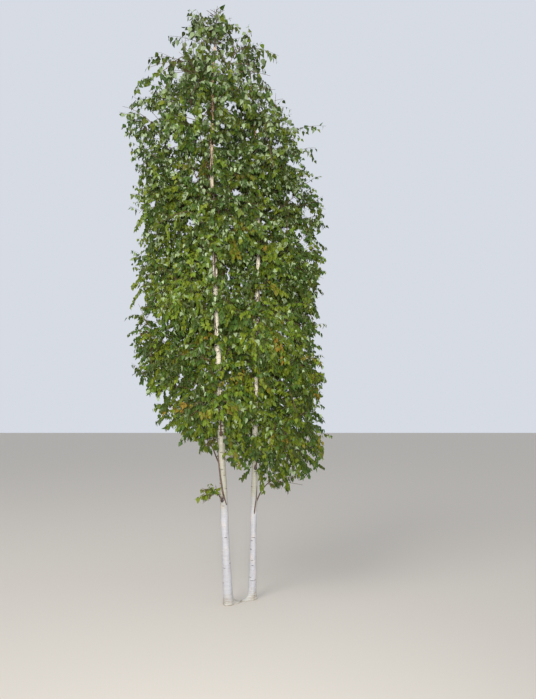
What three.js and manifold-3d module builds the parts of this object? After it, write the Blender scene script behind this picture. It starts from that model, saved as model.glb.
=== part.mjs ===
// A birch clump of nursery size: two white stems that rise from one root collar, thin boughs that
// leave them at a sharp angle, and a tall narrow crown of leafy masses, one at the end of each bough.
// Millimetres, +Z up. The origin is the centre of the main stem's cut foot, at ground level.
// Seen along +Y, the second stem stands behind the main one and to its right.
import * as THREE from "three";
import { mergeVertices } from "three/addons/utils/BufferGeometryUtils.js";
import Module from "manifold-3d";

const wasm = await Module();
wasm.setup();

const up = new THREE.Vector3(0, 0, 1);
const fullTurn = 2 * Math.PI;
const golden = (Math.sqrt(5) - 1) / 2;
const seatGap = 0.3; // clear air between two pieces that meet
const cutterSwell = 0.33; // a little more, as a larger copy with flat sides comes closer along them
const cornerMerge = 0.002; // corners closer than this are one

// Each stem leans by a curve that levels off, plus a straight lean and a bend of the tip. The crown
// round it is a column with a blunt foot and a tapering top, lumpy all round, and a shoulder high up
// on its open side.
const stems = {
  main: {
    foot: [0, 0],
    height: 5330,
    footRadius: 38,
    tipRadius: 10,
    curveLean: [-35, -60],
    straightLean: [-44.5, 0],
    tipBend: 50,
    bendFrom: 3500,
    collarSide: 1,
    boughs: 15,
    firstBough: 840,
    lastBough: 4820,
    leaderRise: 440,
    crown: { foot: 1200, top: 5850, radius: 770, widest: 0.75 },
    shoulder: { height: 4650, heading: Math.PI, share: 0.24 },
  },
  second: {
    foot: [205, 127],
    height: 5130,
    footRadius: 31.5,
    tipRadius: 10,
    curveLean: [0, 0],
    straightLean: [14, 18],
    tipBend: -65,
    bendFrom: 3200,
    collarSide: -1,
    boughs: 13,
    firstBough: 790,
    lastBough: 4600,
    leaderRise: 440,
    crown: { foot: 850, top: 5800, radius: 680, widest: 0.42 },
    shoulder: { height: 4400, heading: 0, share: 0.2 },
  },
};
const curveHeight = 2600; // height over which a curved lean levels off
const bendLength = 1500;
const stemTaper = 0.95;
const stemSides = 10;
const stemRings = 20;
const ringCrowding = 1.7; // how strongly the rings crowd towards the foot

const flare = { depth: 9, height: 85, lobes: 5, lobeShare: 0.3 };
const collar = { reach: 80, height: 30, sharpness: 4 };

const crownShape = {
  foot: { bluntness: 8, power: 0.6 },
  top: { bluntness: 2.2, power: 0.8 },
  lumpShare: 0.1,
  lumps: [
    { lobes: 3, pitch: 480, share: 0.55 },
    { lobes: 5, pitch: -310, share: 0.45 },
  ],
  shoulderHeight: 450,
  shoulderSharpness: 4,
};

const bough = {
  sector: (220 * Math.PI) / 180,
  lowAngle: (46 * Math.PI) / 180,
  highAngle: (32 * Math.PI) / 180,
  lowArch: 0.85,
  highArch: 0.5,
  steepening: 0.8,
  lowDroop: 90,
  wander: 45,
  bareShare: 0.36,
  radiusShare: 0.3,
  radiusMore: 3,
  leastRadius: 11,
  tipRadius: 11,
  tipMargin: 230,
  topMargin: 350,
  leastReach: 170,
  sides: 5,
  rings: 2,
};

const twig = {
  count: 8,
  first: 0.04,
  last: 0.97,
  angle: (58 * Math.PI) / 180,
  length: 400,
  spread: 0.3,
  shortening: 0.42,
  trimShares: [1, 0.85, 0.7, 0.55, 0.4],
  leafShares: [1, 0.8, 0.6],
  stemLinks: 3,
  stemShares: [1, 0.9, 0.8, 0.7],
  stemTipRadius: 9.5,
  footRadius: 4.5,
  tipRadius: 4.5,
  sides: 3,
};

// One leaf here stands for a whole spray of life-size leaves.
const leaf = {
  places: [0.4, 0.75],
  length: 300,
  sizes: [1, 0.85, 0.7, 0.55],
  spread: 0.2,
  widthShare: 0.74,
  shoulder: 0.42,
  fold: 0.035,
  keel: 0.025,
  tipDroop: 0.05,
  sunk: 1.5,
  forward: 0.55,
  sideways: 0.85,
  hang: 0.35,
  faceOut: 0.7,
  faceUp: 0.6,
  endHangs: [0.5, 0, 0.9, -0.4],
  sharpestBend: 0.6,
  tries: 8,
  samples: 6,
  rootShare: 0.15,
  apart: 28,
};
const leafMargin = 38; // how far a leaf keeps inside its own mass's space
const twigMargin = 19;
const limbMargin = 20;

// How many straight links stand for a curve where distances are measured.
const links = { stem: 24, bough: 4, axis: 5, twig: 12, shoot: 3 };

const finish = {
  bark: { color: 0xe4e0dc, roughness: 0.6, metalness: 0 },
  upperBark: { color: 0x5a4636, roughness: 0.7, metalness: 0 },
  foliage: { color: 0x5f7a34, roughness: 0.55, metalness: 0 },
};

// A repeatable number from 0 to 1 for a pair of counters.
function chance(a, b) {
  const s = Math.sin(a * 127.1 + b * 311.7 + 17.3) * 43758.5453;
  return s - Math.floor(s);
}

const mix = (a, b, t) => a + (b - a) * t;

// The centre of a stem at a height, on its curve.
function stemCentre(stem, z) {
  const settled = 1 - Math.exp(-z / curveHeight);
  const bent = Math.max(0, (z - stem.bendFrom) / bendLength) ** 2;
  return new THREE.Vector3(
    stem.foot[0] + stem.curveLean[0] * settled + (stem.straightLean[0] * z) / 1000 + stem.tipBend * bent,
    stem.foot[1] + stem.curveLean[1] * settled + (stem.straightLean[1] * z) / 1000,
    z,
  );
}

function stemRadius(stem, z) {
  return mix(stem.tipRadius, stem.footRadius, Math.max(0, 1 - z / stem.height) ** stemTaper);
}

// The direction, seen from above, from the main stem's foot to the second's.
const between = Math.atan2(
  stems.second.foot[1] - stems.main.foot[1],
  stems.second.foot[0] - stems.main.foot[0],
);
const footDistance = Math.hypot(...stems.second.foot);

// Turns a three.js geometry into a solid.
function solidOf(geometry) {
  const g = geometry.clone();
  g.deleteAttribute("normal");
  g.deleteAttribute("uv");
  const merged = mergeVertices(g, 1e-4);
  return new wasm.Manifold(
    new wasm.Mesh({
      numProp: 3,
      vertProperties: new Float32Array(merged.getAttribute("position").array),
      triVerts: new Uint32Array(merged.index.array),
    }),
  );
}

// Moves each corner of a geometry to where place(x, y, z) says.
function reshape(geometry, place) {
  const corners = geometry.getAttribute("position");
  for (let i = 0; i < corners.count; i++) {
    const p = place(corners.getX(i), corners.getY(i), corners.getZ(i));
    corners.setXYZ(i, p.x, p.y, p.z);
  }
  return geometry;
}

// A stem with level rings, a lobed root flare, and a low ridge towards the other stem. It can be made
// larger all round, as a cutter that leaves a gap.
function stemSolid(stem, extra = 0) {
  const ridgeAngle = stem.collarSide > 0 ? between : between + Math.PI;
  const rod = new THREE.CylinderGeometry(1, 1, 1, stemSides, stemRings);
  return solidOf(
    reshape(rod, (x, y, z) => {
      const height = stem.height * (y + 0.5) ** ringCrowding;
      const c = stemCentre(stem, height);
      const share = Math.hypot(x, z);
      const around = Math.atan2(x, z);
      const lobed = 1 + flare.lobeShare * Math.cos(flare.lobes * around);
      const flared = flare.depth * Math.exp(-height / flare.height) * lobed;
      const facing = Math.max(0, Math.cos(around)) ** collar.sharpness;
      const ridge = collar.reach * Math.exp(-height / collar.height) * facing;
      const r = stemRadius(stem, height) + extra + flared + ridge;
      const heading = ridgeAngle + around;
      return new THREE.Vector3(
        c.x + share * r * Math.cos(heading),
        c.y + share * r * Math.sin(heading),
        height + extra * (y + 0.5),
      );
    }),
  );
}

// The half space past the middle of the collar, as a block, which a stem's ridge is cut off by.
function pastTheMiddle(stem) {
  const side = 400;
  const block = new THREE.BoxGeometry(side, side, side);
  const out = footDistance / 2 + (stem.collarSide * (side - seatGap)) / 2;
  block.rotateZ(between);
  block.translate(out * Math.cos(between), out * Math.sin(between), 0);
  return solidOf(block);
}

// The way that a path runs at a share of its length.
function wayAt(path, t, step = 1e-3) {
  return path(Math.min(1, t + step)).sub(path(Math.max(0, t - step))).normalize();
}

// A tapering rod along a path, with square-cut ends.
function rodSolid(path, radius, sides, rings, firstWay) {
  const rod = new THREE.CylinderGeometry(1, 1, 1, sides, rings);
  const general = path(1).sub(path(0)).normalize();
  const reference = Math.abs(general.z) > 0.9 ? new THREE.Vector3(1, 0, 0) : up;
  return solidOf(
    reshape(rod, (x, y, z) => {
      const t = y + 0.5;
      const ahead = t === 0 && firstWay ? firstWay : wayAt(path, t);
      const across = new THREE.Vector3().crossVectors(ahead, reference).normalize();
      const third = new THREE.Vector3().crossVectors(across, ahead);
      return path(t).addScaledVector(across, x * radius(t)).addScaledVector(third, z * radius(t));
    }),
  );
}

// The radius of the crown round one stem, and whether a point is inside either stem's crown.
function crownRadius(stem, z, heading) {
  const { foot, top, radius, widest } = stem.crown;
  const t = (z - foot) / (top - foot);
  if (t <= 0 || t >= 1) return 0;
  const end = t > widest ? crownShape.top : crownShape.foot;
  const toEnd = t > widest ? (t - widest) / (1 - widest) : (widest - t) / widest;
  const round = (1 - toEnd ** end.bluntness) ** end.power;
  const lumps = crownShape.lumps
    .map((lump) => lump.share * Math.sin(lump.lobes * heading + z / lump.pitch))
    .reduce((sum, part) => sum + part);
  const level = Math.exp(-(((z - stem.shoulder.height) / crownShape.shoulderHeight) ** 2));
  const turned = Math.max(0, Math.cos(heading - stem.shoulder.heading)) ** crownShape.shoulderSharpness;
  return radius * round * (1 + crownShape.lumpShare * lumps + stem.shoulder.share * level * turned);
}

function insideCrown(p) {
  return Object.values(stems).some((stem) => {
    const c = stemCentre(stem, p.z);
    return Math.hypot(p.x - c.x, p.y - c.y) < crownRadius(stem, p.z, Math.atan2(p.y - c.y, p.x - c.x));
  });
}

// Where the boughs leave a stem and how each one runs, by a low-discrepancy rule round the open side.
function boughPlans(stemName, stem) {
  const facing = between + (stem.collarSide > 0 ? Math.PI : 0);
  return Array.from({ length: stem.boughs }, (_, k) => {
    const share = k / (stem.boughs - 1);
    const seed = (stem.collarSide > 0 ? 0 : 50) + k;
    const from = stemCentre(stem, mix(stem.firstBough, stem.lastBough, share));
    const heading = facing + (((0.5 + k * golden) % 1) - 0.5) * bough.sector;
    const angle = mix(bough.lowAngle, bough.highAngle, share ** bough.steepening);
    const usualEnd = from.z + (stem.crown.radius - bough.tipMargin) / Math.tan(angle);
    const room = crownRadius(stem, Math.min(usualEnd, stem.crown.top - bough.topMargin), heading);
    const reach = Math.max(bough.leastReach, room - bough.tipMargin);
    const rise = reach / Math.tan(angle);
    const droop = bough.lowDroop * (1 - share);
    const arch = mix(bough.lowArch, bough.highArch, share);
    const outward = new THREE.Vector3(Math.cos(heading), Math.sin(heading), 0);
    const aside = new THREE.Vector3(-outward.y, outward.x, 0);
    const wander = bough.wander * (2 * chance(seed, 3) - 1);
    const path = (s) =>
      from
        .clone()
        .addScaledVector(outward, reach * s)
        .addScaledVector(aside, wander * Math.sin(Math.PI * s))
        .addScaledVector(up, rise * s * (1 + arch * (1 - s)) - droop * s ** 3);
    const name = String(k + 1).padStart(2, "0");
    return {
      stem,
      stemName,
      boughName: `bough_${stemName}_${name}`,
      foliageName: `foliage_${stemName}_${name}`,
      seed,
      path,
      bare: bough.bareShare,
      footRadius: Math.max(
        bough.leastRadius,
        bough.radiusShare * stemRadius(stem, from.z) + bough.radiusMore,
      ),
    };
  });
}

// The shoot that carries on from a stem's tip, as the axis of its topmost mass.
function leaderPlan(stemName, stem) {
  const tip = stemCentre(stem, stem.height);
  const below = stemCentre(stem, stem.height - stem.tipRadius);
  const along = tip.sub(below).normalize();
  return {
    stem,
    stemName,
    foliageName: `foliage_${stemName}_top`,
    seed: stem.collarSide > 0 ? 90 : 91,
    path: (s) => below.clone().addScaledVector(along, stem.leaderRise * s),
    bare: 0,
  };
}

// A path from where a mass starts, a seat's gap past its bough's end, to the end of the plan's path.
function massPath(plan) {
  if (!plan.boughName) return plan.path;
  const length = plan.path(1).distanceTo(plan.path(plan.bare)) / (1 - plan.bare);
  const start = plan.bare + seatGap / length;
  return (s) => plan.path(mix(start, 1, s));
}

function polyline(path, count) {
  return Array.from({ length: count + 1 }, (_, i) => path(i / count));
}

// The same path with straight links in place of its curve, as a coarse solid has.
function linked(path, count) {
  const points = polyline(path, count);
  return (t) => {
    const place = THREE.MathUtils.clamp(t, 0, 1) * count;
    const link = Math.min(Math.floor(place), count - 1);
    return points[link].clone().lerp(points[link + 1], place - link);
  };
}

const nearest = new THREE.Vector3();
const link = new THREE.Line3();
function distanceToLine(p, points) {
  let least = Infinity;
  for (let i = 1; i < points.length; i++) {
    link.set(points[i - 1], points[i]);
    link.closestPointToPoint(p, true, nearest);
    least = Math.min(least, nearest.distanceTo(p));
  }
  return least;
}

const plans = [];
for (const [stemName, stem] of Object.entries(stems)) {
  plans.push(...boughPlans(stemName, stem), leaderPlan(stemName, stem));
}
for (const plan of plans) {
  plan.massPath = massPath(plan);
  plan.axisPoints = polyline(plan.massPath, links.axis);
}

// Limbs as capsules, for keeping leaves and twigs off them.
const limbs = Object.values(stems).map((stem) => ({
  points: polyline((t) => stemCentre(stem, t * stem.height), links.stem),
  radius: (z) => stemRadius(stem, z) + flare.depth * Math.exp(-z / flare.height),
}));
for (const plan of plans) {
  if (plan.boughName) {
    limbs.push({
      points: polyline((s) => plan.path(s * plan.bare), links.bough),
      radius: () => plan.footRadius,
    });
  }
}

function clearOfLimbs(p, margin) {
  return limbs.every((limb) => distanceToLine(p, limb.points) > limb.radius(p.z) + margin);
}

// A point is in a mass's space where that mass's axis is nearer than any other, by a margin.
function inOwnSpace(plan, p, margin) {
  if (!insideCrown(p)) return false;
  const own = distanceToLine(p, plan.axisPoints);
  return plans.every((other) => other === plan || distanceToLine(p, other.axisPoints) > own + margin);
}

// The longest share of a twig that stays in its space and off the limbs, or 0.
function twigShare(plan, path) {
  const clear = (p) => inOwnSpace(plan, p, twigMargin) && clearOfLimbs(p, limbMargin);
  const fits = (share) =>
    polyline((u) => path(u * share), links.twig)
      .slice(1)
      .every(clear);
  return twig.trimShares.find(fits) ?? 0;
}

// A leaf's blade is a long diamond with a keel below: its root, its shoulders, its keel and its tip.
function bladeOf(root, direction, face, length) {
  const ahead = direction.clone().normalize();
  const normal = face.clone().addScaledVector(ahead, -face.dot(ahead)).normalize();
  const aside = new THREE.Vector3().crossVectors(normal, ahead);
  const waist = root.clone().addScaledVector(ahead, length * leaf.shoulder);
  const half = (length * leaf.widthShare) / 2;
  return {
    ahead,
    normal,
    aside,
    root,
    left: waist.clone().addScaledVector(aside, half).addScaledVector(normal, length * leaf.fold),
    right: waist.clone().addScaledVector(aside, -half).addScaledVector(normal, length * leaf.fold),
    keel: waist.clone().addScaledVector(normal, -length * leaf.keel),
    tip: root.clone().addScaledVector(ahead, length).addScaledVector(normal, -length * leaf.tipDroop),
  };
}

// Points spread evenly over a blade's two halves.
function bladePoints(blade) {
  const points = [];
  for (const side of [blade.left, blade.right]) {
    for (let i = 0; i <= leaf.samples; i++) {
      for (let j = 0; j <= leaf.samples - i; j++) {
        const [a, b] = [i / leaf.samples, j / leaf.samples];
        const p = blade.root.clone().multiplyScalar(1 - a - b);
        points.push(p.addScaledVector(side, a).addScaledVector(blade.tip, b));
      }
    }
  }
  return points;
}

// The first of a list of ways and sizes in which a leaf stays in its space, off the limbs, and off
// the shoots and leaves that its mass already has.
function fittingBlade(plan, grown, root, ways, face, length) {
  const nearRoot = length * leaf.rootShare;
  const clear = (p) =>
    inOwnSpace(plan, p, leafMargin) &&
    (p.distanceTo(root) < nearRoot ||
      (clearOfLimbs(p, limbMargin) &&
        grown.shoots.every((shoot) => distanceToLine(p, shoot) > leaf.apart / 2) &&
        grown.points.every((other) => other.distanceTo(p) > leaf.apart)));
  for (const size of leaf.sizes) {
    for (const way of ways) {
      const blade = bladeOf(root, way, face, length * size);
      const points = bladePoints(blade);
      if (points.every(clear)) {
        grown.points.push(...points);
        return blade;
      }
    }
  }
  return null;
}

// A side leaf: a coarse ball with three corners round its middle, drawn out to the root and the tip.
function leafSolid(blade) {
  const ball = new THREE.SphereGeometry(1, 3, 2);
  const sunk = blade.root.clone().addScaledVector(blade.ahead, -leaf.sunk);
  return solidOf(
    reshape(ball, (x, y, z) => {
      if (y > 0.9) return blade.tip;
      if (y < -0.9) return sunk;
      if (x < -0.9) return blade.keel;
      return z > 0 ? blade.left : blade.right;
    }),
  );
}

// A three-sided shoot along a path, whose last rings are the blade of the leaf at its end.
function shootSolid(path, radius, rings, blade, firstWay) {
  const cone = new THREE.ConeGeometry(1, 1, 3, rings + 2);
  const ringShare = 1 / (rings + 2);
  const lastWay = wayAt(path, 1);
  const top = blade.normal.clone().addScaledVector(lastWay, -blade.normal.dot(lastWay));
  return solidOf(
    reshape(cone, (x, y, z) => {
      const ring = Math.round((y + 0.5) / ringShare);
      if (ring === rings + 2) return blade.tip;
      const turned = Math.atan2(x, z);
      if (ring === rings + 1 && Math.abs(turned) < 1) return blade.keel;
      if (ring === rings + 1) return turned > 0 ? blade.left : blade.right;
      const t = ring / rings;
      const ahead = t === 0 && firstWay ? firstWay : wayAt(path, t, 0.02);
      const aside = new THREE.Vector3().crossVectors(top, ahead).normalize();
      const below = new THREE.Vector3().crossVectors(aside, ahead);
      const out = Math.hypot(x, z) > 1e-6 ? radius(t) : 0;
      return path(t)
        .addScaledVector(aside, out * Math.sin(turned))
        .addScaledVector(below, out * Math.cos(turned));
    }),
  );
}

// One leafy mass: a stem, twigs that leave it by the golden angle, and leaves along and at the end
// of each twig. What doesn't fit is tried another way, then smaller, then left out.
function foliageSolid(plan) {
  const parts = [];
  const faceAt = (root, seed) =>
    root
      .clone()
      .sub(stemCentre(plan.stem, root.z))
      .normalize()
      .multiplyScalar(leaf.faceOut)
      .addScaledVector(up, leaf.faceUp)
      .add(new THREE.Vector3(chance(seed, 5) - 0.5, chance(seed, 6) - 0.5, chance(seed, 7) - 0.5));
  const lengthAt = (seed) => leaf.length * (1 - leaf.spread * chance(seed, 8));

  const grown = { shoots: [], points: [] };

  // A shoot with a leaf at its end. It isn't made where no leaf fits.
  const addShoot = (path, radius, rings, seed, firstWay) => {
    const along = wayAt(path, 1);
    const ways = leaf.endHangs
      .map((hang) => along.clone().addScaledVector(up, -hang).normalize())
      .filter((way) => way.dot(along) > leaf.sharpestBend);
    const blade = fittingBlade(plan, grown, path(1), ways, faceAt(path(1), seed), lengthAt(seed));
    if (blade) {
      parts.push(shootSolid(path, radius, rings, blade, firstWay));
      grown.shoots.push(polyline(path, links.shoot));
    }
    return blade !== null;
  };
  const addSideLeaf = (path, u, roll, seed) => {
    const along = wayAt(path, u);
    const across = new THREE.Vector3().crossVectors(along, up).normalize();
    const third = new THREE.Vector3().crossVectors(across, along);
    const ways = Array.from({ length: leaf.tries }, (_, i) => {
      const turn = roll + (fullTurn * i) / leaf.tries;
      return along
        .clone()
        .multiplyScalar(leaf.forward)
        .addScaledVector(across, leaf.sideways * Math.cos(turn))
        .addScaledVector(third, leaf.sideways * Math.sin(turn))
        .addScaledVector(up, -leaf.hang);
    });
    const blade = fittingBlade(plan, grown, path(u), ways, faceAt(path(u), seed), lengthAt(seed));
    if (blade) parts.push(leafSolid(blade));
  };

  const stemRadiusAt = (t) => mix(bough.tipRadius, twig.stemTipRadius, t);
  const stemPaths = twig.stemShares.map((share) => linked((t) => plan.massPath(t * share), twig.stemLinks));
  const firstWay = wayAt(plan.path, plan.bare);
  const leafed = stemPaths.find((path) =>
    addShoot(path, stemRadiusAt, twig.stemLinks, plan.seed * 100, firstWay),
  );
  const stemPath = leafed ?? stemPaths[0];
  if (!leafed) parts.push(rodSolid(stemPath, stemRadiusAt, twig.sides, twig.stemLinks, firstWay));
  const twigPaths = [];
  for (let j = 0; j < twig.count; j++) {
    const seed = plan.seed * 100 + j * 4 + 4;
    const place = mix(twig.first, twig.last, (j + 0.5) / twig.count);
    const start = stemPath(place);
    const ahead = wayAt(stemPath, place);
    const across = new THREE.Vector3().crossVectors(ahead, up).normalize();
    const third = new THREE.Vector3().crossVectors(across, ahead);
    const roll = fullTurn * ((j * golden + chance(plan.seed, 1)) % 1);
    const direction = ahead
      .clone()
      .multiplyScalar(Math.cos(twig.angle))
      .addScaledVector(across, Math.sin(twig.angle) * Math.cos(roll))
      .addScaledVector(third, Math.sin(twig.angle) * Math.sin(roll));
    const usual = twig.length * (1 - twig.shortening * place);
    const length = usual * (1 + twig.spread * (chance(seed, 2) - 0.5));
    const straight = (u) => start.clone().addScaledVector(direction, length * u);
    const share = twigShare(plan, straight);
    const radiusAt = (t) => mix(twig.footRadius, twig.tipRadius, t);
    const made = twig.leafShares.find(
      (cut) => share > 0 && addShoot((u) => straight(u * share * cut), radiusAt, 1, seed),
    );
    if (made) twigPaths.push({ path: (u) => straight(u * share * made), roll, seed });
  }
  for (const { path, roll, seed } of twigPaths) {
    leaf.places.forEach((u, i) => addSideLeaf(path, u, roll + Math.PI * i, seed + i + 1));
  }
  return parts.reduce((sum, part) => sum.add(part));
}

// A mesh of a solid, without the triangles that shrink to nothing when close corners are merged.
function meshOf(name, solid, look) {
  const made = solid.getMesh();
  const raw = new THREE.BufferGeometry();
  raw.setAttribute("position", new THREE.BufferAttribute(new Float32Array(made.vertProperties), 3));
  raw.setIndex(new THREE.BufferAttribute(new Uint32Array(made.triVerts), 1));
  const geometry = mergeVertices(raw, cornerMerge);
  const corners = Array.from(geometry.index.array);
  const kept = [];
  for (let i = 0; i < corners.length; i += 3) {
    const [a, b, c] = corners.slice(i, i + 3);
    if (a !== b && b !== c && c !== a) kept.push(a, b, c);
  }
  geometry.setIndex(kept);
  geometry.computeVertexNormals();
  const mesh = new THREE.Mesh(geometry, new THREE.MeshStandardMaterial({ ...look, flatShading: true }));
  mesh.name = name;
  return mesh;
}

const tree = new THREE.Group();
tree.name = "birch";

const cutters = {};
for (const [stemName, stem] of Object.entries(stems)) {
  tree.add(meshOf(`stem_${stemName}`, stemSolid(stem).subtract(pastTheMiddle(stem)), finish.bark));
  cutters[stemName] = stemSolid(stem, cutterSwell);
}

for (const plan of plans) {
  const cutter = cutters[plan.stemName];
  const foliage = foliageSolid(plan);
  if (plan.boughName) {
    const radius = (t) => mix(plan.footRadius, bough.tipRadius, t);
    const rod = rodSolid((t) => plan.path(t * plan.bare), radius, bough.sides, bough.rings);
    tree.add(meshOf(plan.boughName, rod.subtract(cutter), finish.upperBark));
    tree.add(meshOf(plan.foliageName, foliage, finish.foliage));
  } else {
    tree.add(meshOf(plan.foliageName, foliage.subtract(cutter), finish.foliage));
  }
}

export default tree;
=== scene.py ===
import math

import bpy
import numpy as np
from mathutils.kdtree import KDTree
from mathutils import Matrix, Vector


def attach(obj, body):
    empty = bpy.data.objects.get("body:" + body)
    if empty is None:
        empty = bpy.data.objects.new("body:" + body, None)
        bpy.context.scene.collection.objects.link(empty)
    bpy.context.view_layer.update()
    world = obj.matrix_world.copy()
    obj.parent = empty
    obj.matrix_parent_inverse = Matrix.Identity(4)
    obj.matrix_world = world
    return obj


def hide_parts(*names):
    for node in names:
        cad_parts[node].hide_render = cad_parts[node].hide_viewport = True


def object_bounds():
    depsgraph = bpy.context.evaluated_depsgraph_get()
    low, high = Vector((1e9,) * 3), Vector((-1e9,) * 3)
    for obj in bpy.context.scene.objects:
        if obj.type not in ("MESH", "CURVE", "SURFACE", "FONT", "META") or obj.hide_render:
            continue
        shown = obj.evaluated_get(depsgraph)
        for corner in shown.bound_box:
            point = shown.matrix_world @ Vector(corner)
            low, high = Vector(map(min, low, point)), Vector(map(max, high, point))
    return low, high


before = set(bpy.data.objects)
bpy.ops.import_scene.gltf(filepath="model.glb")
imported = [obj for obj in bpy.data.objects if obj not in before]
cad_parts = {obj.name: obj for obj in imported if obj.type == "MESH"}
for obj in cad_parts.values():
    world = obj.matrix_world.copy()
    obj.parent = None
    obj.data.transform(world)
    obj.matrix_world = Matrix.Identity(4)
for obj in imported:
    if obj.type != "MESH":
        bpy.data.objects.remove(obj)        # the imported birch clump: stems, boughs and leafy masses, all on one body
cadBox = [list(corner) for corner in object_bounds()]
print("frame:", len(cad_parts), "nodes, top at", round(cadBox[1][2], 3), "m")

rng = np.random.default_rng(seed=41)
golden = (math.sqrt(5) - 1) / 2
up = np.array([0.0, 0.0, 1.0])


# The rule that the tree grows by, the same as the solids', in metres.
stems = {
    "main": {
        "foot": (0, 0), "height": 5.33, "footRadius": 0.038, "tipRadius": 0.010,
        "curveLean": (-0.035, -0.060), "straightLean": (-0.0445, 0), "tipBend": 0.050, "bendFrom": 3.5,
        "side": 1, "boughs": 15, "firstBough": 0.84, "lastBough": 4.82, "leaderRise": 0.44,
        "seeds": (0, 90), "crown": {"foot": 1.20, "top": 5.85, "radius": 0.77, "widest": 0.75},
        "shoulder": {"height": 4.65, "heading": math.pi, "share": 0.24}, "slimTop": (4.40, 5.60, 0.50),
    },
    "second": {
        "foot": (0.205, 0.127), "height": 5.13, "footRadius": 0.0315, "tipRadius": 0.010,
        "curveLean": (0, 0), "straightLean": (0.014, 0.018), "tipBend": -0.065, "bendFrom": 3.2,
        "side": -1, "boughs": 13, "firstBough": 0.79, "lastBough": 4.60, "leaderRise": 0.44,
        "seeds": (50, 91), "crown": {"foot": 0.85, "top": 5.80, "radius": 0.68, "widest": 0.42},
        "shoulder": {"height": 4.40, "heading": 0, "share": 0.2}, "slimTop": (3.70, 4.40, 0.70),
    },
}
growth = {
    "curveHeight": 2.6, "bendLength": 1.5, "stemTaper": 0.95,
    "flareDepth": 0.009, "flareHeight": 0.085, "flareLobes": 5, "flareLobeShare": 0.3,
    "collarReach": 0.080, "collarHeight": 0.019, "collarSharpness": 7,
    "footBlunt": 8, "footPower": 0.6, "topBlunt": 2.2, "topPower": 0.8,
    "lumpShare": 0.1, "lumps": ((3, 0.480, 0.55), (5, -0.310, 0.45)),
    "shoulderHeight": 0.45, "shoulderSharpness": 4,
    "sector": math.radians(220), "lowAngle": math.radians(46), "highAngle": math.radians(32),
    "lowArch": 0.85, "highArch": 0.5, "steepening": 0.8, "lowDroop": 0.090, "wander": 0.045,
    "bareShare": 0.36, "radiusShare": 0.3, "radiusMore": 0.003, "leastRadius": 0.011,
    "tipMargin": 0.23, "topMargin": 0.35, "leastReach": 0.17, "leastCrown": 0.02,
    "twigs": 8, "firstTwig": 0.04, "lastTwig": 0.97, "twigAngle": math.radians(58),
    "twigLength": 0.40, "twigSpread": 0.3, "shortening": 0.42, "room": 0.02,
}
footLine = math.atan2(stems["second"]["foot"][1], stems["second"]["foot"][0])
footGap = math.hypot(*stems["second"]["foot"])


def chance(a, b):
    # A share from 0 to 1 that is always the same for the same two numbers.
    s = math.sin(a * 127.1 + b * 311.7 + 17.3) * 43758.5453
    return s - math.floor(s)


def blend(a, b, t):
    return a + (b - a) * t


def unit(v):
    return v / np.maximum(np.linalg.norm(v, axis=-1, keepdims=True), 1e-9)


def stemCentre(stem, z):
    z = np.asarray(z, float)
    settled = 1 - np.exp(-z / growth["curveHeight"])
    bent = np.maximum(0, (z - stem["bendFrom"]) / growth["bendLength"]) ** 2
    x = stem["foot"][0] + stem["curveLean"][0] * settled + stem["straightLean"][0] * z
    y = stem["foot"][1] + stem["curveLean"][1] * settled + stem["straightLean"][1] * z
    return np.stack([x + stem["tipBend"] * bent, y + 0 * z, z], axis=-1)


def stemRadius(stem, z):
    left = np.maximum(0, 1 - np.asarray(z, float) / stem["height"]) ** growth["stemTaper"]
    return blend(stem["tipRadius"], stem["footRadius"], left)


def crownRadius(stem, z, heading):
    crown = stem["crown"]
    t = np.clip((z - crown["foot"]) / (crown["top"] - crown["foot"]), 0, 1)
    high = np.clip((t - crown["widest"]) / (1 - crown["widest"]), 0, 1)
    low = np.clip((crown["widest"] - t) / crown["widest"], 0, 1)
    roundTop = (1 - high ** growth["topBlunt"]) ** growth["topPower"]
    roundFoot = (1 - low ** growth["footBlunt"]) ** growth["footPower"]
    lumps = sum(share * np.sin(lobes * heading + z / pitch) for lobes, pitch, share in growth["lumps"])
    level = np.exp(-(((z - stem["shoulder"]["height"]) / growth["shoulderHeight"]) ** 2))
    turned = np.maximum(0, np.cos(heading - stem["shoulder"]["heading"])) ** growth["shoulderSharpness"]
    lumpy = 1 + growth["lumpShare"] * lumps + stem["shoulder"]["share"] * level * turned
    return crown["radius"] * roundTop * roundFoot * lumpy


class Limb:
    # One bough and the mass that it carries, or the leader above a stem's tip.
    def __init__(self, stem, seed, path, bare, footRadius, boughNode, foliageNode):
        self.stem, self.seed, self.path, self.bare = stem, seed, path, bare
        self.footRadius, self.boughNode, self.foliageNode = footRadius, boughNode, foliageNode

    def massPath(self, s):
        return self.path(blend(self.bare, 1, s))


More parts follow.
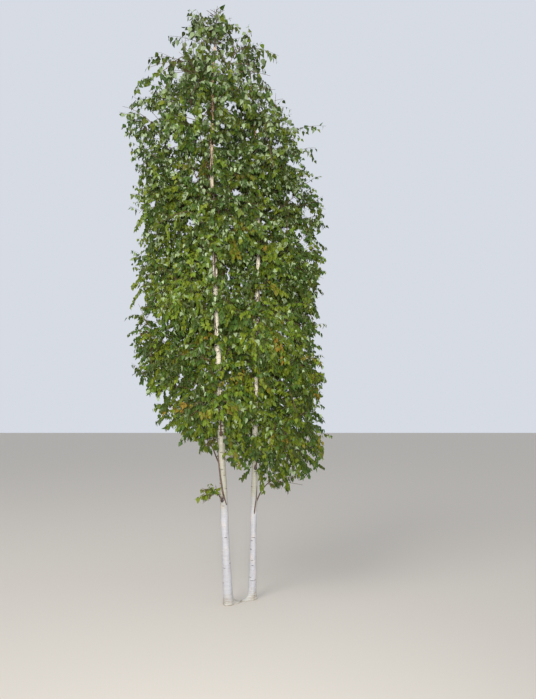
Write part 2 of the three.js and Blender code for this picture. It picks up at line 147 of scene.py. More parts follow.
def boughLimbs(stemName, stem):
    facing = footLine + (math.pi if stem["side"] > 0 else 0)
    limbs = []
    for k in range(stem["boughs"]):
        share = k / (stem["boughs"] - 1)
        seed = stem["seeds"][0] + k
        start = stemCentre(stem, blend(stem["firstBough"], stem["lastBough"], share))
        heading = facing + ((0.5 + k * golden) % 1 - 0.5) * growth["sector"]
        angle = blend(growth["lowAngle"], growth["highAngle"], share ** growth["steepening"])
        usualEnd = start[2] + (stem["crown"]["radius"] - growth["tipMargin"]) / math.tan(angle)
        room = crownRadius(stem, min(usualEnd, stem["crown"]["top"] - growth["topMargin"]), heading)
        reach = max(growth["leastReach"], room - growth["tipMargin"])
        rise = reach / math.tan(angle)
        droop = growth["lowDroop"] * (1 - share)
        arch = blend(growth["lowArch"], growth["highArch"], share)
        outward = np.array([math.cos(heading), math.sin(heading), 0])
        aside = np.array([-outward[1], outward[0], 0])
        wander = growth["wander"] * (2 * chance(seed, 3) - 1)

        def path(s, start=start, outward=outward, aside=aside, reach=reach, rise=rise, droop=droop,
                 arch=arch, wander=wander):
            s = np.asarray(s, float)[..., None]
            lift = rise * s * (1 + arch * (1 - s)) - droop * s ** 3
            return start + outward * reach * s + aside * wander * np.sin(math.pi * s) + up * lift

        radius = max(growth["leastRadius"],
                     growth["radiusShare"] * float(stemRadius(stem, start[2])) + growth["radiusMore"])
        name = f"{stemName}_{k + 1:02d}"
        limbs.append(Limb(stem, seed, path, growth["bareShare"], radius,
                          f"bough_{name}", f"foliage_{name}"))
    return limbs


def leaderLimb(stemName, stem):
    tip = stemCentre(stem, stem["height"])
    below = stemCentre(stem, stem["height"] - stem["tipRadius"])
    along = unit(tip - below)

    def path(s):
        return below + along * stem["leaderRise"] * np.asarray(s, float)[..., None]

    return Limb(stem, stem["seeds"][1], path, 0, stem["tipRadius"], None, f"foliage_{stemName}_top")


limbs = []
for stemName, stem in stems.items():
    limbs += boughLimbs(stemName, stem) + [leaderLimb(stemName, stem)]
for place, limb in enumerate(limbs):
    limb.index = place

# Every mass's axis as straight links, to tell whose space a point is in.
axisLinks = 5
axisPoints = np.array([limb.massPath(np.linspace(0, 1, axisLinks + 1)) for limb in limbs])
linkStart = axisPoints[:, :-1].reshape(-1, 3)
linkRun = axisPoints[:, 1:].reshape(-1, 3) - linkStart


def axisDistances(points):
    # One row for each point and one column for each mass.
    gap = points[:, None, :] - linkStart[None]
    t = np.clip((gap * linkRun).sum(-1) / (linkRun ** 2).sum(-1), 0, 1)
    far = np.linalg.norm(gap - t[..., None] * linkRun, axis=-1)
    return far.reshape(len(points), len(limbs), axisLinks).min(-1)


def crownRoom(stem, z, heading):
    # The crown's radius, slimmer than the solids' near the top, where the leaves are sparse.
    lowest, highest, least = stem["slimTop"]
    slim = blend(1, least, np.clip((z - lowest) / (highest - lowest), 0, 1))
    return np.maximum(slim * crownRadius(stem, z, heading), growth["leastCrown"])


def crownShare(points):
    # How far out points are, as a share of the crown's radius round the stem that they are nearer to.
    shares = []
    for stem in stems.values():
        out = points - stemCentre(stem, points[:, 2])
        room = crownRoom(stem, points[:, 2], np.arctan2(out[:, 1], out[:, 0]))
        shares.append(np.hypot(out[:, 0], out[:, 1]) / room)
    return np.min(shares, axis=0)


def offTheStems(points, clear):
    free = np.ones(len(points), bool)
    for stem in stems.values():
        out = points - stemCentre(stem, points[:, 2])
        free &= np.hypot(out[:, 0], out[:, 1]) > stemRadius(stem, points[:, 2]) + clear
    return free


def inBox(points):
    # The leaves and twigs stay in the solids' own box, and a little room round it.
    low, high = np.array(cadBox)
    return ((points > low - growth["room"]) & (points < high + growth["room"])).all(-1)


# The camera stands where the photograph was taken, at eye height.
camera = {"place": (0.3475, -4.74, 1.6), "pitch": math.radians(7.87), "focalPixels": 510,
          "pictureSize": (536, 699), "sensor": 36}


def placeAt(px, py, y):
    # The place at a depth y behind the main stem's foot that the photograph shows at a pixel.
    width, height = camera["pictureSize"]
    down = (height / 2 - py) / camera["focalPixels"]
    away = y - camera["place"][1]
    z = camera["place"][2] + away * math.tan(camera["pitch"] + math.atan(down))
    depth = away * math.cos(camera["pitch"]) + (z - camera["place"][2]) * math.sin(camera["pitch"])
    return np.array([camera["place"][0] + (px - width / 2) / camera["focalPixels"] * depth, y, z])


def inPicture(points):
    # Where points fall in the photograph, in pixels, and how far from the camera they are.
    x, y, z = (points - np.array(camera["place"])).T
    depth = y * math.cos(camera["pitch"]) + z * math.sin(camera["pitch"])
    rise = z * math.cos(camera["pitch"]) - y * math.sin(camera["pitch"])
    width, height = camera["pictureSize"]
    return (width / 2 + camera["focalPixels"] * x / depth,
            height / 2 - camera["focalPixels"] * rise / depth, depth)


# Where the photograph shows sky right through the crown, and where it shows a stem between the
# leaves in front of it: x, y, half width and half height, in its pixels.
openings = {
    "ragged": 0.55, "core": 0.50, "fringe": 1.30, "drift": 3.0, "driftWaves": (0.9, 0.7),
    "edgeWaves": ((3, 0.6), (5, 0.4)),
    "sky": [(178, 75, 5, 9), (146, 93, 5, 6), (155, 116, 10, 8), (191, 118, 6, 9), (204.5, 108, 3, 7),
            (201.5, 138, 2.5, 6), (223, 124, 5, 3.5), (220.5, 70, 5, 3.5), (233, 60, 3, 4),
            (232, 104, 3.5, 4), (171, 143, 3, 5), (277, 145, 5, 5), (186, 42, 4.5, 4.5), (206, 24, 3, 5),
            (201, 160, 2.5, 5), (194.5, 177, 3.5, 7), (153.5, 204, 5, 5), (234.5, 192, 6, 5),
            (267, 172, 4, 3), (191, 223, 5, 4), (232, 223, 2.5, 5), (292.5, 197, 6, 5), (308.5, 214, 7, 7),
            (284, 230, 5, 4), (299.5, 232, 4, 4), (313, 184, 6, 6), (290.5, 163, 4, 6), (228, 271, 3, 6)],
    "main": [(212.5, 108, 3, 14), (211.5, 150, 3, 12), (210, 162, 3.5, 9), (212, 183, 3, 7),
             (213, 196, 2.5, 4), (214, 264, 2.5, 15), (215, 291, 3.5, 7), (216, 320, 3.5, 12),
             (217, 333, 2.5, 5), (218.5, 355, 3.5, 11), (219, 392, 3, 6), (219.5, 410, 2.5, 4),
             (221, 430, 3.5, 11), (222, 447, 4, 6)],
    "second": [(258, 261, 4, 8.5), (257.5, 297, 4, 7), (258, 320, 3.5, 4.5), (257, 333, 3, 4),
               (257.5, 384, 4, 7), (255, 431, 3.5, 7), (254.5, 466, 4.5, 6)],
}


def nearest(ovals, x, y, ragged=0):
    # How far each place is from the middle of the nearest oval, as a share of the oval's size.
    # The ovals' edges may run in and out by a share too.
    far = np.full(len(x), np.inf)
    drift = openings["drift"] * ragged
    downWave, acrossWave = openings["driftWaves"]
    x, y = x + drift * np.sin(y * downWave), y + drift * np.sin(x * acrossWave)
    (lobes, deep), (fineLobes, fineDeep) = openings["edgeWaves"]
    for px, py, wide, tall in ovals:
        dx, dy = (x - px) / wide, (y - py) / tall
        turn = np.arctan2(dy, dx)
        edge = 1 + ragged * (deep * np.sin(lobes * turn + px) + fineDeep * np.sin(fineLobes * turn - py))
        far = np.minimum(far, np.hypot(dx, dy) / edge)
    return far


def inSky(points):
    x, y = inPicture(points)[:2]
    return nearest(openings["sky"], x, y, openings["ragged"]) < openings["core"]


def thinnedOut(points):
    # Leaves dropped at random, more of them the nearer they are to an opening's middle.
    x, y = inPicture(points)[:2]
    far = nearest(openings["sky"], x, y, openings["ragged"])
    share = (far - openings["core"]) / (openings["fringe"] - openings["core"])
    return rng.uniform(0, 1, len(points)) > share


def beforeStem(points):
    # Points in front of a stem, where the photograph shows it bare.
    x, y = inPicture(points)[:2]
    before = np.zeros(len(points), bool)
    for stemName, stem in stems.items():
        nearer = points[:, 1] < stemCentre(stem, points[:, 2])[:, 1]
        before |= nearer & (nearest(openings[stemName], x, y) < 1)
    return before


print("rule:", len(limbs), "limbs")


# Nodes
def mathStep(operation):
    # An operator between a socket and a socket or number, and its reflected form. Each adds a Math node.
    def forward(self, other):
        return self.bench.node("ShaderNodeMath", {"operation": operation}, {0: self, 1: other})

    def reflected(self, other):
        return self.bench.node("ShaderNodeMath", {"operation": operation}, {0: other, 1: self})

    return forward, reflected


class Wire:
    # A node's socket that sums can be written with.
    def __init__(self, bench, socket):
        self.bench, self.socket = bench, socket

    __add__, __radd__ = mathStep("ADD")
    __sub__, __rsub__ = mathStep("SUBTRACT")
    __mul__, __rmul__ = mathStep("MULTIPLY")
    __pow__, __rpow__ = mathStep("POWER")


class Bench:
    def __init__(self, tree):
        self.tree = tree

    def node(self, kind, settings=None, sockets=None, output=0):
        # A new node: its settings, then the values or links of its sockets, and the output to go on with.
        made = self.tree.nodes.new(kind)
        for name, value in (settings or {}).items():
            setattr(made, name, value)
        for key, value in (sockets or {}).items():
            self.plug(made.inputs[key], value)
        return Wire(self, made.outputs[output]) if made.outputs else None

    def plug(self, socket, value):
        if isinstance(value, Wire):
            self.tree.links.new(value.socket, socket)
        else:
            socket.default_value = value


def srgb(red, green, blue):
    # A colour as a screen shows it, from 0 to 255, as the light values that Blender takes.
    parts = [c / 255 for c in (red, green, blue)]
    return tuple(c / 12.92 if c < 0.04045 else ((c + 0.055) / 1.055) ** 2.4 for c in parts) + (1,)


class Surface(Bench):
    # A material with one Principled shader.
    def __init__(self, name):
        self.material = bpy.data.materials.new(name)
        self.material.use_nodes = True
        super().__init__(self.material.node_tree)
        self.shader = self.tree.nodes["Principled BSDF"]
        self.place = self.node("ShaderNodeTexCoord", output=3)

    def stretched(self, x, y, z):
        return self.node("ShaderNodeMapping", None, {"Vector": self.place, "Scale": (x, y, z)})

    def noise(self, scale, detail=3, vector=None, roughness=0.5):
        return self.node("ShaderNodeTexNoise", None, {
            "Vector": vector or self.place, "Scale": scale, "Detail": detail, "Roughness": roughness})

    def ranged(self, value, low, high, least=0.0, most=1.0):
        return self.node("ShaderNodeMapRange", {"clamp": True}, {
            "Value": value, "From Min": low, "From Max": high, "To Min": least, "To Max": most})

    def mixed(self, share, a, b):
        return self.node("ShaderNodeMix", {"data_type": "RGBA"}, {0: share, 6: a, 7: b}, 2)

    def bump(self, height, strength, distance):
        return self.node("ShaderNodeBump", None, {
            "Height": height, "Strength": strength, "Distance": distance})

    def own(self, label):
        # A number that each point of the piece has of its own.
        return self.node("ShaderNodeAttribute", {"attribute_name": label}, output=2)

    def finish(self, **sockets):
        for name, value in sockets.items():
            self.plug(self.shader.inputs[name.replace("_", " ")], value)
        return self.material


class Recipe(Bench):
    # A Geometry Nodes tree with named inputs beside its geometry.
    def __init__(self, name, inputs):
        super().__init__(bpy.data.node_groups.new(name, "GeometryNodeTree"))
        self.tree.is_modifier = True
        self.tree.interface.new_socket("Geometry", in_out="INPUT", socket_type="NodeSocketGeometry")
        for label, kind in inputs.items():
            self.tree.interface.new_socket(label, in_out="INPUT", socket_type="NodeSocket" + kind)
        self.tree.interface.new_socket("Geometry", in_out="OUTPUT", socket_type="NodeSocketGeometry")
        self.source = self.tree.nodes.new("NodeGroupInput")

    def given(self, label="Geometry"):
        return Wire(self, self.source.outputs[label])

    def attribute(self, name, kind="FLOAT"):
        return self.node("GeometryNodeInputNamedAttribute", {"data_type": kind}, {"Name": name})

    def deliver(self, geometry, material):
        real = self.node("GeometryNodeRealizeInstances", None, {0: geometry})
        dressed = self.node("GeometryNodeSetMaterial", None, {"Geometry": real, "Material": material})
        self.node("NodeGroupOutput", None, {0: dressed})
        return self.tree


def worked(piece, tree, values):
    # The plain mesh that a tree makes of a piece, with the modifier gone.
    modifier = piece.modifiers.new(tree.name, "NODES")
    modifier.node_group = tree
    for item in tree.interface.items_tree:
        if item.item_type == "SOCKET" and item.in_out == "INPUT" and item.name in values:
            modifier[item.identifier] = values[item.name]
    depsgraph = bpy.context.evaluated_depsgraph_get()
    evaluated = piece.evaluated_get(depsgraph)
    mesh = bpy.data.meshes.new_from_object(evaluated, preserve_all_data_layers=True, depsgraph=depsgraph)
    piece.modifiers.clear()
    piece.data = mesh
    return piece


def newPiece(name, points, edges=(), faces=(), facts=None):
    mesh = bpy.data.meshes.new(name)
    mesh.from_pydata([tuple(p) for p in points], [tuple(e) for e in edges], [tuple(f) for f in faces])
    for label, values in (facts or {}).items():
        values = np.asarray(values)
        kind = "FLOAT_VECTOR" if values.ndim == 2 else "INT" if values.dtype.kind == "i" else "FLOAT"
        field = "vector" if values.ndim == 2 else "value"
        values = values.astype(np.int32 if kind == "INT" else np.float32)
        mesh.attributes.new(label, kind, "POINT").data.foreach_set(field, values.ravel())
    piece = bpy.data.objects.new(name, mesh)
    bpy.context.scene.collection.objects.link(piece)
    return piece


def settled(piece, slot, nodes):
    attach(piece, "root")
    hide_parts(*nodes)
    print("piece:", piece.name, sum(len(p.vertices) - 2 for p in piece.data.polygons), "triangles")


# Finishes. The spans are of heights in metres, or of a noise: its low and high, and the least and most
# that they stand for.
barkLook = {
    # cream is partly the bark's own tone and partly painted light: brighter than the paper, to make up for the crown's
    # shade on the upper stems
    "paper": srgb(183, 182, 185), "paperShade": srgb(170, 166, 165), "creamAndPaintedLight": srgb(250, 240, 210),
    # dull is partly the bark's own greenish tone and partly painted shade, a darker band where the crown's foot hangs
    # over the stems
    "dullAndPaintedShade": srgb(164, 160, 138), "blush": srgb(222, 206, 190), "streak": srgb(150, 142, 134),
    # tan is partly the young bark's own colour and partly painted light, brightened against the crown's shade
    "tan": srgb(250, 214, 166), "tanDarkAndPaintedLight": srgb(216, 168, 120),
    "crust": srgb(192, 186, 158), "crustShade": srgb(140, 124, 98), "scar": srgb(52, 42, 36),
    "creamAndPaintedLightFrom": (1.2, 2.2), "dullAndPaintedShadeFrom": (0.90, 1.10), "dullAndPaintedShadeUpTo": (1.95, 1.60), "tanAndPaintedLightFrom": (3.9, 4.9),
    "crustUpTo": (0.20, 0.10),
    "creamAndPaintedLightWander": 0.5, "dullAndPaintedShadeWander": 0.3, "tanAndPaintedLightWander": 0.6, "crustWander": 0.2, "scarWander": 0.3,
    "bands": (9, 9, 95), "patches": (22, 22, 14), "streaks": (40, 40, 420), "bump": (0.35, 0.0015),
    "shaded": (0.42, 0.70, 0, 0.7), "dullAndPaintedShadeShare": (0.3, 0.6, 0.6, 0.9), "blushed": (0.55, 0.75, 0, 0.4),
    "streaked": (0.62, 0.74, 0, 0.35), "tanned": (0.35, 0.65), "soiled": (0.35, 0.6, 0.35, 0.9),
    "crusted": (0.4, 0.6), "scarred": (0.42, 0.62), "rough": (0.3, 0.7, 0.48, 0.66),
}
youngLook = {
    "grain": (1, 1, 0.35), "grainScale": 60, "lit": (0.35, 0.68), "dots": (260, 260, 140),
    "dotted": (0.66, 0.72, 0, 0.7), "rough": (0.3, 0.7, 0.42, 0.6), "bump": (0.25, 0.001),
}
plainLook = {"grainScale": 90, "lit": (0.35, 0.65), "bump": (0.2, 0.0006)}


def whiteBark():
    # White paper low down, duller and then cream above it, tan near the tip, and a crust at the foot; the dull band is
    # partly painted shade, and the cream and tan are partly painted light.
    s, look = Surface("whiteBark"), barkLook
    height = s.node("ShaderNodeSeparateXYZ", None, {0: s.place}, 2)
    bands = s.noise(1, 4, s.stretched(*look["bands"]), 0.6)
    patches = s.noise(1, 3, s.stretched(*look["patches"]))
    streaks = s.noise(1, 2, s.stretched(*look["streaks"]), 0.7)
    paper = s.mixed(s.ranged(bands, *look["shaded"]), look["paper"], look["paperShade"])
    # Cream higher up, brighter than the paper: partly the bark's own tone, partly painted light against the crown's
    # shade.
    creamAndPaintedLightShare = s.ranged(height + bands * look["creamAndPaintedLightWander"], *look["creamAndPaintedLightFrom"])
    paper = s.mixed(creamAndPaintedLightShare, paper, look["creamAndPaintedLight"])
    # A dull greenish band from the crown's foot up: partly the bark's own tone, partly painted shade under the crown.
    level = height + patches * look["dullAndPaintedShadeWander"]
    dullAndPaintedShadeShare = s.ranged(level, *look["dullAndPaintedShadeFrom"]) * s.ranged(level, *look["dullAndPaintedShadeUpTo"])
    paper = s.mixed(dullAndPaintedShadeShare * s.ranged(bands, *look["dullAndPaintedShadeShare"]), paper, look["dullAndPaintedShade"])
    paper = s.mixed(s.ranged(patches, *look["blushed"]), paper, look["blush"])
    paper = s.mixed(s.ranged(streaks, *look["streaked"]), paper, look["streak"])
    # Tan near the tip, brightened: partly the young bark's own colour, partly painted light against the crown's shade.
    tan = s.mixed(s.ranged(bands, *look["tanned"]), look["tan"], look["tanDarkAndPaintedLight"])
    colour = s.mixed(s.ranged(height + patches * look["tanAndPaintedLightWander"], *look["tanAndPaintedLightFrom"]), paper, tan)
    soiled = s.ranged(height + patches * look["crustWander"], *look["crustUpTo"])
    crust = s.mixed(s.ranged(bands, *look["crusted"]), look["crust"], look["crustShade"])
    colour = s.mixed(soiled * s.ranged(bands, *look["soiled"]), colour, crust)
    scarred = s.ranged(s.own("scar") + patches * look["scarWander"], *look["scarred"])
    colour = s.mixed(scarred, colour, look["scar"])
    return s.finish(Base_Color=colour, Roughness=s.ranged(bands, *look["rough"]),
                    Normal=s.bump(bands * 0.6 + streaks * 0.4, *look["bump"]))


def youngBark(name, dark, lit, dots):
    s, look = Surface(name), youngLook
    grain = s.noise(look["grainScale"], 3, s.stretched(*look["grain"]))
    colour = s.mixed(s.ranged(grain, *look["lit"]), dark, lit)
    lenticels = s.noise(1, 1, s.stretched(*look["dots"]))
    colour = s.mixed(s.ranged(lenticels, *look["dotted"]), colour, dots)
    return s.finish(Base_Color=colour, Roughness=s.ranged(grain, *look["rough"]),
                    Normal=s.bump(grain, *look["bump"]))


def plainFinish(name, colour, other, roughness):
    s, look = Surface(name), plainLook
    grain = s.noise(look["grainScale"], 2)
    tinted = s.mixed(s.ranged(grain, *look["lit"]), colour, other)
    return s.finish(Base_Color=tinted, Roughness=roughness, Normal=s.bump(grain, *look["bump"]))


# The leaves' tints, each from one colour to another, with the least roughness
leafTints = {
    "deep": ((37, 59, 20), (61, 70, 8), 0.40),
    "cool": ((50, 79, 33), (64, 88, 18), 0.40),
    "mid": ((66, 87, 15), (88, 96, 10), 0.40),
    "bright": ((82, 110, 23), (110, 117, 19), 0.40),
    # pale: partly the leaves' paler undersides, partly painted glints of the sky reflected on their gloss
    "pale": ((122, 140, 94), (162, 175, 136), 0.46),
    "gold": ((119, 108, 26), (98, 94, 22), 0.46),
    "amber": ((140, 111, 33), (117, 94, 28), 0.50),
}
leafLook = {
    "rib": srgb(124, 134, 80), "ribPower": 5, "ribShare": 0.35, "fleck": srgb(88, 100, 44),
    "ownTone": 0.6, "toneScale": 6, "toned": (0.4, 0.6, 0, 0.4), "fineScale": 70,
    "flecked": (0.45, 0.75, 0, 0.2), "rough": (0.3, 0.7), "rougher": 0.14, "shine": 0.2,
    "bump": (0.12, 0.0008),
}


def leafFinish(name, colour, other, roughness):
    # Each leaf has its own tone between two colours, and a paler rib.
    s, look = Surface(name), leafLook
    toned = s.ranged(s.noise(look["toneScale"], 2), *look["toned"])
    fine = s.noise(look["fineScale"], 2)
    tinted = s.mixed(s.own("tone") * look["ownTone"] + toned, srgb(*colour), srgb(*other))
    tinted = s.mixed(s.own("rib") ** look["ribPower"] * look["ribShare"], tinted, look["rib"])
    tinted = s.mixed(s.ranged(fine, *look["flecked"]), tinted, look["fleck"])
    rough = s.ranged(fine, *look["rough"], roughness, roughness + look["rougher"])
    return s.finish(Base_Color=tinted, Roughness=rough, Specular_IOR_Level=look["shine"],
                    Normal=s.bump(fine, *look["bump"]))


finishes = {
    "whiteBark": whiteBark(),
    "boughBark": youngBark("boughBark", srgb(70, 52, 42), srgb(112, 88, 70), srgb(180, 164, 146)),
    "twigBark": youngBark("twigBark", srgb(72, 50, 36), srgb(108, 80, 52), srgb(150, 130, 104)),
    "lenticel": plainFinish("lenticel", srgb(30, 25, 23), srgb(56, 45, 40), 0.8),
    "paperCurl": plainFinish("paperCurl", srgb(200, 197, 194), srgb(176, 166, 154), 0.6),
}
for tint, look in leafTints.items():
    finishes[tint] = leafFinish("leaf" + tint.capitalize(), *look)
print("finishes:", len(finishes))


# Trees of nodes
def pushedOut(r, geometry, bumps, depth):
    # A skin moved in and out along its normals by a noise.
    lift = (bumps - 0.5) * depth
    normal = r.node("GeometryNodeInputNormal")
    out = r.node("ShaderNodeVectorMath", {"operation": "SCALE"}, {0: normal, "Scale": lift})
    moved = r.node("GeometryNodeSetPosition", None, {"Geometry": geometry, "Offset": out})
    return r.node("GeometryNodeSetShadeSmooth", None, {"Geometry": moved, "Shade Smooth": True})


def tubeRecipe():
    # A round skin along lines of edges, as thick as each point says, with a grain.
    r = Recipe("tubeAlongLine", {
        "Sides": "Int", "Relief": "Float", "Grain": "Float", "Material": "Material"})
    line = r.node("GeometryNodeMeshToCurve", None, {0: r.given()})
    ring = r.node("GeometryNodeCurvePrimitiveCircle", {"mode": "RADIUS"}, {
        "Resolution": r.given("Sides"), "Radius": 1.0})
    tube = r.node("GeometryNodeCurveToMesh", None, {
        "Curve": line, "Profile Curve": ring, "Scale": r.attribute("thickness"), "Fill Caps": True})
    place = r.node("GeometryNodeInputPosition")
    bumps = r.node("ShaderNodeTexNoise", None, {"Vector": place, "Scale": r.given("Grain"), "Detail": 2.0})
    return r.deliver(pushedOut(r, tube, bumps, r.given("Relief")), r.given("Material"))


def reliefRecipe():
    # Pushes a stem's skin in and out in bands that run round it.
    r = Recipe("barkRelief", {"Bands": "Vector", "Depth": "Float", "Material": "Material"})
    place = r.node("GeometryNodeInputPosition")
    banded = r.node("ShaderNodeVectorMath", {"operation": "MULTIPLY"}, {0: place, 1: r.given("Bands")})
    bumps = r.node("ShaderNodeTexNoise", None, {
        "Vector": banded, "Scale": 1.0, "Detail": 3.0, "Roughness": 0.55})
    depth = r.given("Depth") * r.attribute("relief")
    return r.deliver(pushedOut(r, r.given(), bumps, depth), r.given("Material"))


def scatterRecipe():
    # Puts one of three shapes on each point, turned by the point's own two axes.
    labels = ("First", "Second", "Third")
    r = Recipe("scatterByAxes", {**{label: "Object" for label in labels}, "Material": "Material"})
    shapes = r.tree.nodes.new("GeometryNodeJoinGeometry")
    for label in reversed(labels):
        shape = r.node("GeometryNodeObjectInfo", None, {"Object": r.given(label), "As Instance": True}, 4)
        r.tree.links.new(shape.socket, shapes.inputs[0])
    turn = r.node("FunctionNodeAxesToRotation", {"primary_axis": "Y", "secondary_axis": "Z"}, {
        0: r.attribute("way", "FLOAT_VECTOR"), 1: r.attribute("face", "FLOAT_VECTOR")})
    placed = r.node("GeometryNodeInstanceOnPoints", None, {
        "Points": r.given(), "Instance": Wire(r, shapes.outputs[0]), "Pick Instance": True,
        "Instance Index": r.attribute("shape", "INT"), "Rotation": turn,
        "Scale": r.attribute("extent", "FLOAT_VECTOR")})
    return r.deliver(placed, r.given("Material"))


tubes, relief, scatter = tubeRecipe(), reliefRecipe(), scatterRecipe()


# Stems
skin = {
    "sides": 48, "fineStep": 0.005, "coarseStep": 0.012, "fineUpTo": 1.5,
    "bands": (14, 14, 230), "depth": 0.0016, "fade": 0.02,
    "ripple": 0.0016, "ripples": ((2, 9, 0, 1), (3, -23, 1, 0.6), (1, 61, 0, 0.35)),
    "swell": 0.45, "swellHigh": 0.020, "swellWide": 0.45, "footPoints": 60,
    "browFall": 0.03, "browWide": 0.55, "browThick": 0.0050, "browHigh": 0.030,
    "collarHigh": 1.5, "collarWide": 1.4,
}


def ringHeights(stem):
    fine = np.arange(0, skin["fineUpTo"], skin["fineStep"])
    coarse = np.arange(skin["fineUpTo"], stem["height"], skin["coarseStep"])
    return np.append(np.concatenate([fine, coarse]), stem["height"])


def wrap(angle):
    return (angle + math.pi) % (2 * math.pi) - math.pi


def boughFeet(stem):
    # The height, heading and radius of each bough where it comes out of its stem.
    feet = []
    for limb in limbs:
        if limb.stem is stem and limb.boughNode:
            path = limb.path(np.linspace(0, limb.bare, skin["footPoints"]))
            out = path - stemCentre(stem, path[:, 2])
            far = np.hypot(out[:, 0], out[:, 1]) - stemRadius(stem, path[:, 2])
            k = int(np.argmax(far > 0))
            feet.append((path[k, 2], math.atan2(out[k, 1], out[k, 0]), limb.footRadius))
    return feet


def skinRadius(stem, z, heading):
    ridgeWay = footLine if stem["side"] > 0 else footLine + math.pi
    around = wrap(heading - ridgeWay)
    flared = growth["flareDepth"] * np.exp(-z / growth["flareHeight"])
    flared = flared * (1 + growth["flareLobeShare"] * np.cos(growth["flareLobes"] * around))
    facing = np.maximum(0, np.cos(around)) ** growth["collarSharpness"]
    ridge = growth["collarReach"] * np.exp(-z / growth["collarHeight"]) * facing
    ripple = skin["ripple"] * sum(share * np.sin(lobes * heading + rate * z + shift)
                                  for lobes, rate, shift, share in skin["ripples"])
    swell = np.zeros_like(around)
    for footZ, footHeading, radius in boughFeet(stem):
        dz = (z - footZ) / skin["swellHigh"]
        da = wrap(heading - footHeading) / skin["swellWide"]
        swell = swell + skin["swell"] * radius * np.exp(-dz * dz - da * da)
    return stemRadius(stem, z) + flared + ridge + ripple + swell


def scarField(stem, z, heading):
    # Dark brows over the bough feet, and collars round them: 1 in the middle of a mark and 0 off it.
    mark = np.zeros_like(heading)
    for footZ, footHeading, radius in boughFeet(stem):
        da = wrap(heading - footHeading)
        rise = (z - footZ - skin["browHigh"] + np.abs(da) * skin["browFall"]) / skin["browThick"]
        brow = np.exp(-rise ** 2 - (da / skin["browWide"]) ** 4)
        above = (z - footZ) / (radius * skin["collarHigh"])
        aside = da * stemRadius(stem, z) / (radius * skin["collarWide"])
        mark = np.maximum(mark, np.maximum(brow, np.exp(-above ** 2 - aside ** 2)))
    return mark


def onSkin(stem, z, heading, lift):
    out = skinRadius(stem, z, heading) + lift
    sideways = np.stack([np.cos(heading), np.sin(heading), 0 * z], axis=-1)
    return stemCentre(stem, z) + out[:, None] * sideways


def cutAtTheMiddle(stem, points):
    # The two root collars meet half way between the stems' feet.
    way = np.array([math.cos(footLine), math.sin(footLine)])
    past = (points[:, :2] @ way - footGap / 2) * stem["side"]
    points[:, :2] -= np.maximum(past, 0)[:, None] * way * stem["side"]
    return points


def stemPiece(stemName, stem):
    z, sides = ringHeights(stem), skin["sides"]
    headings = np.arange(sides) * 2 * math.pi / sides
    zz, hh = [grid.ravel() for grid in np.meshgrid(z, headings, indexing="ij")]
    points = cutAtTheMiddle(stem, onSkin(stem, zz, hh, 0))
    foot, tip, topRing = len(points), len(points) + 1, len(points) - sides
    points = np.vstack([points, stemCentre(stem, 0), stemCentre(stem, stem["height"])])
    faces = []
    for j in range(sides):
        k = (j + 1) % sides
        faces += [(a + j, a + k, a + sides + k, a + sides + j) for a in range(0, topRing, sides)]
        faces += [(foot, k, j), (tip, topRing + j, topRing + k)]
    scar = np.append(scarField(stem, zz, hh), [0, 0])
    inside = np.clip(np.minimum(zz, stem["height"] - zz) / skin["fade"], 0, 1)
    piece = newPiece(f"bark_{stemName}", points, faces=faces,
                     facts={"scar": scar, "relief": np.append(inside, [0, 0])})
    worked(piece, relief, {
        "Bands": skin["bands"], "Depth": skin["depth"], "Material": finishes["whiteBark"]})
    settled(piece, "white_bark", [f"stem_{stemName}"])


for stemName, stem in stems.items():
    stemPiece(stemName, stem)


# Lenticels and papery curls, laid out on the bark as if it were unrolled, and then wrapped round it
marks = {
    "lenses": (
        {"perMetre": 24, "columns": 9, "long": (0.020, 0.048), "tall": (0.0065, 0.0115),
         "foot": 0.10, "top": 0.10, "lift": 0.0013},
        {"perMetre": 120, "columns": 5, "long": (0.005, 0.016), "tall": (0.0012, 0.0022),
         "foot": 0.06, "top": 0.05, "lift": 0.00078},
    ),
    "curls": {"perMetre": 16, "foot": 0.03, "upTo": 2.6, "crowding": 1.35, "long": (0.012, 0.034),
              "tall": (0.003, 0.008), "lift": (0.12, 0.30), "steps": 6, "rollBack": 0.35, "sunk": 0.04,
              "jags": (9, 7), "shapes": {"curlLow": (0.5, 0.10), "curlHigh": (0.9, 0.16),
                                         "curlRolled": (1.3, 0.06)}},
    "lowest": 0.001,
}


def lensShape(name, columns):
    # A lens one unit wide and high, raised in the middle, with its rim sunk in the bark.
    points, faces = [(-0.5, 0, -1)], []
    for i in range(1, columns - 1):
        x = i / (columns - 1) - 0.5
        half = 0.5 * math.sqrt(1 - (2 * x) ** 2)
        points += [(x, -half, -1), (x, 0, 1), (x, half, -1)]
    points.append((0.5, 0, -1))
    last = len(points) - 1
    faces += [(0, 1, 2), (0, 2, 3), (last, last - 2, last - 3), (last, last - 1, last - 2)]
    for i in range(columns - 3):
        a = 1 + 3 * i
        faces += [(a, a + 3, a + 4, a + 1), (a + 1, a + 4, a + 5, a + 2)]
    return newPiece(name, points, faces=faces)


def curlShape(name, bend, jag):
    # A strip of paper bark that lifts off at one end and rolls back, with ragged edges.
    look, points, faces = marks["curls"], [], []
    lowJag, highJag = look["jags"]
    for i in range(look["steps"] + 1):
        x = i / look["steps"]
        z = bend * x * x - look["sunk"]
        back = x - look["rollBack"] * bend * x ** 3
        points.append((back, -0.5 + jag * math.sin(lowJag * x), z))
        points.append((back, 0.5 - jag * math.sin(highJag * x + 1), z))
    for a in range(0, 2 * look["steps"], 2):
        faces.append((a, a + 2, a + 3, a + 1))
    return newPiece(name, points, faces=faces)


